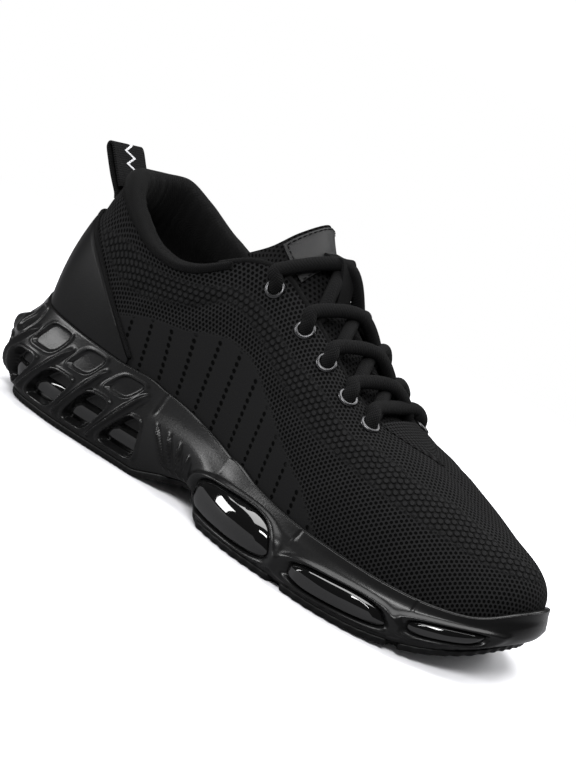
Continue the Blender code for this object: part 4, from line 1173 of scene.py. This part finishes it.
def eyelet_places():
    """Place and normal of each eyelet, outer side first, from the top down."""
    found = []
    for side in ("outer", "inner"):
        for i, share in enumerate(EYELETS):
            t = place_of_edge(share)
            t = t if side == "outer" else 2.0 - t
            width = np.linalg.norm(upper_curve(t, 1.0) - upper_curve(t, 0.8)) / 0.2
            v = 1.0 - EYELET_FROM_EDGE / width
            found.append((side, i, t, v, upper_curve(t, v), upper_normal(t, v)))
    return found


def turned_to(place, normal):
    turn = Vector(normal).to_track_quat("Z", "Y").to_matrix().to_4x4()
    return Matrix.Translation(Vector(place) + SHIFT) @ turn


def eyelet_cutters():
    """Round bars that cut the eyelet holes."""
    body = bmesh.new()
    for _, _, _, _, place, normal in eyelet_places():
        bmesh.ops.create_cone(
            body, cap_ends=True, segments=24, radius1=EYELET_HOLE, radius2=EYELET_HOLE,
            depth=0.012, matrix=turned_to(place, normal),
        )
    mesh = bpy.data.meshes.new("eyelet_holes")
    body.to_mesh(mesh)
    body.free()
    item = bpy.data.objects.new("eyelet_holes", mesh)
    bpy.context.scene.collection.objects.link(item)
    return item


EYELET_PROFILE = (
    # radius and height above the knit
    (0.0033, -0.0026), (0.0027, -0.0026), (0.0026, -0.0006), (0.0027, 0.0004), (0.0031, 0.0009),
    (0.0037, 0.0011), (0.0043, 0.0009), (0.0047, 0.0004), (0.0048, -0.0002), (0.0040, -0.0004),
    (0.0034, -0.0006),
)


def make_eyelets():
    """Turned metal rings through the upper, five a side."""
    for side, i, _, _, place, normal in eyelet_places():
        turn = np.linspace(0, 2 * math.pi, 40, endpoint=False)
        rows = []
        for radius, height in EYELET_PROFILE + EYELET_PROFILE[:1]:
            ring = [np.cos(turn) * radius, np.sin(turn) * radius, np.full(40, height)]
            rows.append(np.stack(ring, -1))
        facing = np.array(Vector(normal).to_track_quat("Z", "Y").to_matrix())
        points = np.array(rows) @ facing.T + place
        item = grid_piece("eyelet_ring_%s_%d" % (side, i + 1), points, closed=True)
        finish_piece(item, METAL, "metal", "eyelet_%s_%d" % (side, i + 1))


COUNTER_REACH = 0.300
COUNTER_WALL = 0.0012
PIPING_RADIUS = 0.0010
COUNTER_EDGE = ((0.0, 0.57), (0.30, 0.59), (0.55, 0.51), (0.78, 0.31), (1.0, 0.03))
COUNTER = Smooth([row[0] for row in COUNTER_EDGE], [row[1:] for row in COUNTER_EDGE])


def counter_top(t):
    return COUNTER.at(np.minimum(np.abs(t) / COUNTER_REACH, 1.0))[..., 0]


def make_counter():
    """Smooth moulded cap round the heel, with piping along its top edge."""
    t = np.linspace(-COUNTER_REACH, COUNTER_REACH, 220)
    rows = []
    for row in np.linspace(0.0, 1.0, 40):
        v = mix(0.005, counter_top(t), row)
        lift = 0.0006 + 0.0011 * (1 - ease(row, 0.94, 1.0) * 0.6)
        rows.append(upper_point(t, v, -lift))
    item = grid_piece("heel_cap", np.array(rows))
    wall(item, COUNTER_WALL)
    round_edges(item, 0.0003, 2)
    smooth_by_angle(item, 50)
    finish_piece(item, SYNTHETIC, "synthetic", "heel_counter")
    path = upper_point(t, counter_top(t) + 0.022, -0.0008)
    item = tube_piece("heel_cap_piping", path, PIPING_RADIUS, 12)
    finish_piece(item, BINDING, "synthetic", "counter_piping")


COLLAR_REACH = 0.400
COLLAR_ROLL = (
    # v on the upper, depth below its face
    (0.925, 0.0010), (0.930, -0.0004), (0.950, -0.0012), (0.985, -0.0014), (1.020, -0.0002),
    (1.045, 0.0022), (1.048, 0.0052), (1.020, 0.0084), (0.960, 0.0100), (0.870, 0.0103),
    (0.760, 0.0094), (0.640, 0.0066), (0.540, 0.0040), (0.480, 0.0030), (0.560, 0.0027),
    (0.700, 0.0027), (0.840, 0.0027),
)


def make_collar():
    """Padded roll over the collar's rim and down inside, as one sewn pad."""
    t = np.linspace(-COLLAR_REACH, COLLAR_REACH, 300)
    count = len(COLLAR_ROLL)
    roll = Smooth(range(count), COLLAR_ROLL, period=float(count))
    section = roll.at(np.linspace(0, count, 56, endpoint=False))
    thin = 1.0 - 0.68 * (np.abs(t) / COLLAR_REACH) ** 4
    rows = []
    for v, depth in section:
        inner = np.where(depth > 0.0027, 0.0027 + (depth - 0.0027) * thin, depth)
        rise = np.where(v > 1.0, 1.0 + (v - 1.0) * thin, v)
        rows.append(upper_point(t, rise, inner))
    points = np.transpose(np.array(rows), (1, 0, 2))
    puff = 0.00025 * np.sin(t * SIDE_LENGTH * 2 * math.pi / 0.011)[:, None, None]
    centre = points.mean(axis=1, keepdims=True)
    away = points - centre
    away /= np.maximum(np.linalg.norm(away, axis=-1, keepdims=True), 1e-9)
    inside = (np.arange(56) > 22) & (np.arange(56) < 40)
    points += away * puff * inside[None, :, None]
    item = grid_piece("padded_collar", with_ends(points), closed=True)
    finish_piece(item, LINING, "lining", "collar_lining")


THROAT_FOOT = outline_keys()[13] - 0.004
GUSSET_FROM = 0.656
HEM_RADIUS = 0.00145


def make_throat_binding():
    """Turned hem along both edges of the throat, meeting at its foot."""
    top = COLLAR_REACH - 0.012
    t = np.linspace(top, THROAT_FOOT, 120)
    t = np.concatenate([t, 2.0 - t[::-1]])
    path = upper_point(t, 1.0, 0.0010)
    item = tube_piece("throat_hem", path, HEM_RADIUS, 12)
    finish_piece(item, BINDING, "knit")


def make_throat_foot():
    """Knitted gusset that closes the throat below the lowest lace."""
    rows = []
    for t in np.linspace(place_of_edge(GUSSET_FROM), THROAT_FOOT, 24):
        low, high = upper_point(t, 0.975, -0.0004), upper_point(2.0 - t, 0.975, -0.0004)
        across = np.linspace(0.0, 1.0, 25)[:, None]
        crown = 4 * across * (1 - across) * 0.05 * np.linalg.norm(high - low)
        rows.append(mix(low, high, across) + crown * np.array((0.4, 0.0, 0.9)))
    item = grid_piece("throat_foot", np.array(rows))
    face_up(item)
    wall(item, 0.0014)
    round_edges(item, 0.0004, 2, 60)
    smooth_by_angle(item, 50)
    finish_piece(item, KNIT, "knit")


TONGUE_PAD = 0.0045
TONGUE_ROWS = (
    # share of the length, rise and lean of the middle, how deep the sides lie
    (0.735, 0.000, 0.000, 1.0),
    (0.690, 0.006, 0.000, 0.5),
    (0.640, 0.024, 0.000, 0.0),
    (0.580, 0.036, 0.000, 0.0),
    (0.525, 0.045, 0.000, 0.0),
    (0.482, 0.070, 0.005, 0.0),
    (0.455, 0.100, 0.018, 0.0),
    (0.430, 0.150, 0.028, 0.0),
)
TONGUE_TOP = (
    # along, to the side and up, each as a share of the shoe's size
    (0.348, 0.186, 0.945), (0.376, 0.150, 1.010), (0.405, 0.118, 1.100), (0.421, 0.000, 1.160),
)


def tongue_row(share, rise, forward, sunk):
    """Seven points across the tongue where it passes this share of the length."""
    t = place_of_edge(share)
    depth = UPPER_WALL * (1 + sunk) + 0.0010
    outer = [upper_point(t, 0.84, depth), upper_point(t, 1.0, depth)]
    inner = [upper_point(2.0 - t, 1.0, depth), upper_point(2.0 - t, 0.84, depth)]
    between = []
    for across in (0.2, 0.5, 0.8):
        crown = 1 - (2 * across - 1) ** 2
        point = mix(outer[1], inner[0], across)
        between.append(point + np.array((forward, 0, rise)) * crown * COLLAR_HEIGHT)
    return np.array(outer + between + inner)


def row_at(share):
    shares = [row[0] for row in TONGUE_ROWS[::-1]]
    values = [float(np.interp(share, shares, [row[k] for row in TONGUE_ROWS[::-1]])) for k in (1, 2, 3)]
    return tongue_row(share, *values)


def tongue_rows():
    rows = [tongue_row(*row) for row in TONGUE_ROWS]
    scale = np.array((SOLE_LENGTH, -BALL_WIDTH, COLLAR_HEIGHT))
    outer = [np.array(place) * scale for place in TONGUE_TOP]
    inner = [point * (1, -1, 1) for point in outer[-2::-1]]
    rows.append(np.array(outer + inner))
    return np.array(rows)


def tongue_surface(rows_count=90, columns=70):
    """The tongue's face as a soft grid."""
    rows = tongue_rows()
    along = Smooth(range(len(rows)), rows.reshape(len(rows), -1))
    fine = along.at(np.linspace(0, len(rows) - 1, rows_count)).reshape(rows_count, 7, 3)
    fine = np.transpose(fine, (1, 0, 2)).reshape(7, -1)
    across = Smooth(range(7), fine)
    grid = across.at(np.linspace(0, 6, columns)).reshape(columns, rows_count, 3)
    return np.transpose(grid, (1, 0, 2))


def make_tongue():
    """Padded mesh tongue that rises out of the throat."""
    grid = tongue_surface()
    item = grid_piece("padded_tongue", grid)
    face_up(item)
    wall(item, TONGUE_PAD, even=False)
    round_edges(item, 0.0012, 3, 60)
    smooth_by_angle(item, 60)
    finish_piece(item, TONGUE_MESH, "knit", "tongue")


def face_up(item):
    if sum(p.normal.z * p.area for p in item.data.polygons) < 0:
        item.data.flip_normals()


def normals_of(grid):
    a = np.gradient(grid, axis=0)
    b = np.gradient(grid, axis=1)
    n = np.cross(b, a)
    n /= np.linalg.norm(n, axis=-1, keepdims=True)
    return n if n[..., 2].mean() > 0 else -n


def make_label():
    """Plain satin label over the tongue's top, its edges folded under."""
    grid = tongue_surface(181, 141)
    covered = (slice(138, 178), slice(32, 109))
    normal = normals_of(grid)[covered]
    part = grid[covered] + normal * 0.0012
    item = grid_piece("tongue_tab", part)
    face_up(item)
    wall(item, 0.0009)
    round_edges(item, 0.0003, 2, 60)
    smooth_by_angle(item, 50)
    finish_piece(item, SATIN, "satin", "tongue_label")
    low, high = 2, len(part) - 3
    left, right = 3, part.shape[1] - 4
    lifted = part + normal * 0.0002
    route = np.concatenate([
        lifted[low, left:right], lifted[low:high, right],
        lifted[high, right:left:-1], lifted[high:low:-1, left],
    ])
    stitches("tab_stitches", route, 0.0026, 0.0017, 0.00028, "satin")


def stitches(name, route, pitch, length, radius, slot):
    """Short raised threads along a route, all in one piece."""
    run = np.concatenate([[0.0], np.cumsum(np.linalg.norm(np.diff(route, axis=0), axis=1))])
    pieces = []
    for start in np.arange(0.0, run[-1] - length, pitch):
        keys = np.linspace(start, start + length, 5)
        path = np.stack([np.interp(keys, run, route[:, k]) for k in range(3)], -1)
        pieces.append(tube_piece("stitch", path, radius * np.array((0.6, 1.0, 1.1, 1.0, 0.6)), 6))
    item = joined(name, pieces)
    finish_piece(item, BINDING, slot)


LACE_LIFT = 0.0006
LACE_STEPS = 12
LACE_AROUND = 20


def on_tongue(share):
    """Where a lace lies on the tongue: outer side, middle and inner side."""
    row, ahead, behind = row_at(share), row_at(share + 0.01), row_at(share - 0.01)
    found = []
    for i, end in ((2, 1), (3, 3), (4, 5)):
        normal = np.cross(row[i + 1] - row[i - 1], behind[i] - ahead[i])
        normal /= np.linalg.norm(normal)
        found.append(mix(row[i], row[end], 0.45) + normal * (LACE_RADIUS + LACE_LIFT))
    return found


def lace_starts():
    """From each eyelet: inside it, its bend, over the edge of the throat, and the edge."""
    starts = {}
    for side, i, t, _, place, normal in eyelet_places():
        brow = upper_point(t, 1.0, -0.9 * LACE_RADIUS)
        bend = mix(place, brow, 0.36) + normal * (0.42 * LACE_RADIUS)
        starts[side, i] = (place - normal * 0.0016, bend, brow, upper_point(t, 1.0, 0.0016))
    return starts


def make_laces():
    """Bar at the foot of the throat and four crossings above it, each tucked under."""
    starts = lace_starts()
    last = len(EYELETS) - 1
    bar = on_tongue(EYELETS[-1])[1]
    paths = [[*starts["outer", last][:3], bar, *starts["inner", last][2::-1]]]
    over = np.array((0.4, 0, 1.0)) * 1.35 * LACE_RADIUS
    under = np.array((0.001, 0, -0.0058))
    for i in range(last):
        low = EYELETS[i + 1]
        outer_end, _, inner_end = on_tongue(low)
        crossing = on_tongue((EYELETS[i] + low) / 2)[1]
        outer_tuck = mix(outer_end, starts["outer", i + 1][3], 0.75) + under
        inner_tuck = mix(inner_end, starts["inner", i + 1][3], 0.75) + under
        paths.append([*starts["inner", i][:3], crossing, outer_end, outer_tuck])
        paths.append([*starts["outer", i][:3], crossing + over, inner_end, inner_tuck])
    runs = []
    for points in paths:
        runs.append(tube_piece("lace_run", soft_path(points, LACE_STEPS), LACE_RADIUS, LACE_AROUND))
    finish_piece(joined("laces", runs), LACE, "cord", "lace")


def make_keeper():
    """Small strap on the tongue that holds the laces in line."""
    share = (EYELETS[0] + EYELETS[1]) / 2
    below, above = on_tongue(share + 0.020)[1], on_tongue(share - 0.014)[1]
    low, high = on_tongue(share + 0.034)[1], on_tongue(share - 0.03)[1]
    sink = np.array((0, 0, -LACE_RADIUS - 0.0028))
    top = np.array((0.3, 0, 1.0)) * 0.0062
    points = [high + sink, above + sink * 0.2 + top * 0.3, on_tongue(share)[1] + top]
    path = soft_path([*points, below + top * 0.55, low + sink], 10)
    strip = np.stack([path + (0, side * 0.0055, 0) for side in np.linspace(-1, 1, 9)], 1)
    item = grid_piece("lace_keeper", strip)
    wall(item, 0.0012, offset=0.0)
    smooth_by_angle(item, 60)
    finish_piece(item, BINDING, "webbing")


def make_pull_loop():
    """Folded webbing that leans back from the heel of the collar."""
    root = upper_point(0.0, 0.755, 0.0016)
    knee = upper_point(0.0, 0.80, -0.0012)
    lean = math.radians(38.0)
    up = np.array((-math.sin(lean), 0.0, math.cos(lean)))
    front = np.array((math.cos(lean), 0.0, math.sin(lean)))
    gap = 0.0030
    tall = 0.0230
    path = [root, upper_point(0.0, 0.778, 0.0004), knee]
    path += [knee + up * tall * s - front * 0.0006 * math.sin(math.pi * s) for s in (0.35, 0.7, 0.92)]
    path.append(knee + up * tall * 0.995 + front * gap * 0.5)
    path += [knee + up * tall * s + front * gap for s in (0.92, 0.6, 0.25, 0.05)]
    line = soft_path(path, 10)
    columns = []
    for side in np.linspace(-0.5, 0.5, 25):
        columns.append(line + np.array((0, side * LOOP_WIDTH, 0)))
    grid = np.stack(columns, 1)
    item = grid_piece("heel_pull_loop", grid)
    wall(item, 0.0013, offset=0.0)
    round_edges(item, 0.0003, 2, 60)
    smooth_by_angle(item, 50)
    finish_piece(item, WEBBING, "webbing", "pull_loop")


# The set: floor, lights and camera
def make_floor():
    """White floor that fades into the white behind it; reflections and bounced light see it painted dark
    grey.
    """
    bpy.ops.mesh.primitive_circle_add(vertices=96, radius=9.0, fill_type="NGON", location=(0, 0, -0.0002))
    floor = bpy.context.object
    floor.name = "floor"
    made, s, shader = new_material("floor", (0.86, 0.86, 0.87), 0.75)
    shader.inputs["Specular IOR Level"].default_value = 0.2
    seen = s.put("ShaderNodeLightPath").outputs["Is Camera Ray"]
    # Painted shade: reflections and bounced light see the floor dark grey (0.22), and only the camera sees
    # it white.
    s.feed(shader.inputs["Base Color"], s.blend(seen, shade(0.22), shade(0.86)))
    far = s.put("ShaderNodeVectorMath", operation="LENGTH")
    s.feed(far.inputs[0], s.place())
    glow = s.put("ShaderNodeEmission")
    both = s.put("ShaderNodeMixShader")
    s.feed(both.inputs[0], s.product(seen, s.soft(far.outputs["Value"], 0.24, 0.60)))
    s.feed(both.inputs[1], shader.outputs[0])
    s.feed(both.inputs[2], glow.outputs[0])
    s.feed(made.node_tree.nodes["Material Output"].inputs["Surface"], both.outputs[0])
    floor.data.materials.append(made)
    bpy.ops.object.transform_apply(location=True, rotation=True, scale=True)


def area_light(name, place, target, size, power):
    data = bpy.data.lights.new(name, "AREA")
    data.shape = "RECTANGLE"
    data.size, data.size_y = size
    data.energy = power
    item = bpy.data.objects.new(name, data)
    bpy.context.scene.collection.objects.link(item)
    item.location = place
    item.rotation_euler = (Vector(target) - Vector(place)).to_track_quat("-Z", "Y").to_euler()


LIGHT_FROM_ROUND = 0.42
WHITE_BEHIND = 1.05
SHARE_IN_GLOSS = 0.14


def make_lights():
    """A white room that the gloss sees darker, with four lamps."""
    bpy.context.scene.view_settings.view_transform = "Standard"
    world = bpy.data.worlds.new("studio")
    bpy.context.scene.world = world
    world.use_nodes = True
    back = world.node_tree.nodes["Background"]
    back.inputs["Color"].default_value = (1.0, 1.0, 1.0, 1.0)
    s = Sheet(world.node_tree)
    seen = s.put("ShaderNodeLightPath").outputs
    level = s.between(seen["Is Camera Ray"], LIGHT_FROM_ROUND, WHITE_BEHIND)
    mirrored = s.between(seen["Is Glossy Ray"], 1.0, SHARE_IN_GLOSS)
    s.feed(back.inputs["Strength"], s.product(level, mirrored))
    area_light("key", (0.30, -0.80, 0.85), (0.03, 0, 0.03), (0.60, 0.22), 13.0)
    area_light("top", (-0.05, 0.10, 1.2), (0, 0, 0), (1.2, 0.8), 22.0)
    area_light("side", (-0.90, -0.75, 0.40), (-0.05, 0, 0.03), (0.20, 0.60), 8.0)
    area_light("far_fill", (0.6, 1.1, 1.0), (0, 0, 0), (1.0, 0.8), 14.0)


CAMERA_TURN, CAMERA_RISE, CAMERA_ROLL = 28.01, 13.36, 23.83
CAMERA_AWAY = 0.794
CAMERA_AIM = Vector((0.1595, 0.0, 0.055))
LENS = 84.375
PICTURE_HEIGHT = 768
PICTURE_SHIFT = (-27.8, 39.9)


def make_camera():
    """The photograph's camera, rolled as there."""
    a, e, r = (math.radians(v) for v in (CAMERA_TURN, CAMERA_RISE, CAMERA_ROLL))
    back = Vector((math.sin(a) * math.cos(e), -math.cos(a) * math.cos(e), math.sin(e)))
    right = Vector((math.cos(a), math.sin(a), 0.0))
    up = back.cross(right)
    across = right * math.cos(r) + up * math.sin(r)
    upward = -right * math.sin(r) + up * math.cos(r)
    data = bpy.data.cameras.new("camera")
    data.lens = LENS
    data.sensor_fit = "VERTICAL"
    data.sensor_height = 36.0
    data.shift_x, data.shift_y = (shift / PICTURE_HEIGHT for shift in PICTURE_SHIFT)
    item = bpy.data.objects.new("camera", data)
    matrix = Matrix((across, upward, back)).transposed().to_4x4()
    matrix.translation = CAMERA_AIM + SHIFT + back * CAMERA_AWAY
    item.matrix_world = matrix
    bpy.context.scene.collection.objects.link(item)
    bpy.context.scene.camera = item


make_camera()
make_midsole()
for label, *values in PODS:
    for side in ("outer", "inner"):
        make_pod(label, values, side)
make_tube()
make_outsole()
make_insole()
make_upper()
make_eyelets()
make_counter()
make_collar()
make_throat_binding()
make_throat_foot()
make_tongue()
make_label()
make_laces()
make_keeper()
make_pull_loop()

NODE_FINISH = {
    "outsole": RUBBER, "midsole": FOAM, "insole": INSOLE, "upper": KNIT, "heel_counter": SYNTHETIC,
    "counter_piping": BINDING, "collar_lining": LINING, "tongue": TONGUE_MESH, "tongue_label": SATIN,
    "lace": LACE, "pull_loop": WEBBING,
}
for name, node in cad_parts.items():
    finish = NODE_FINISH.get(name, METAL if name.startswith("eyelet") else GLOSS)
    for slot in node.material_slots:
        slot.material = finish

make_floor()
make_lights()
bpy.context.view_layer.update()
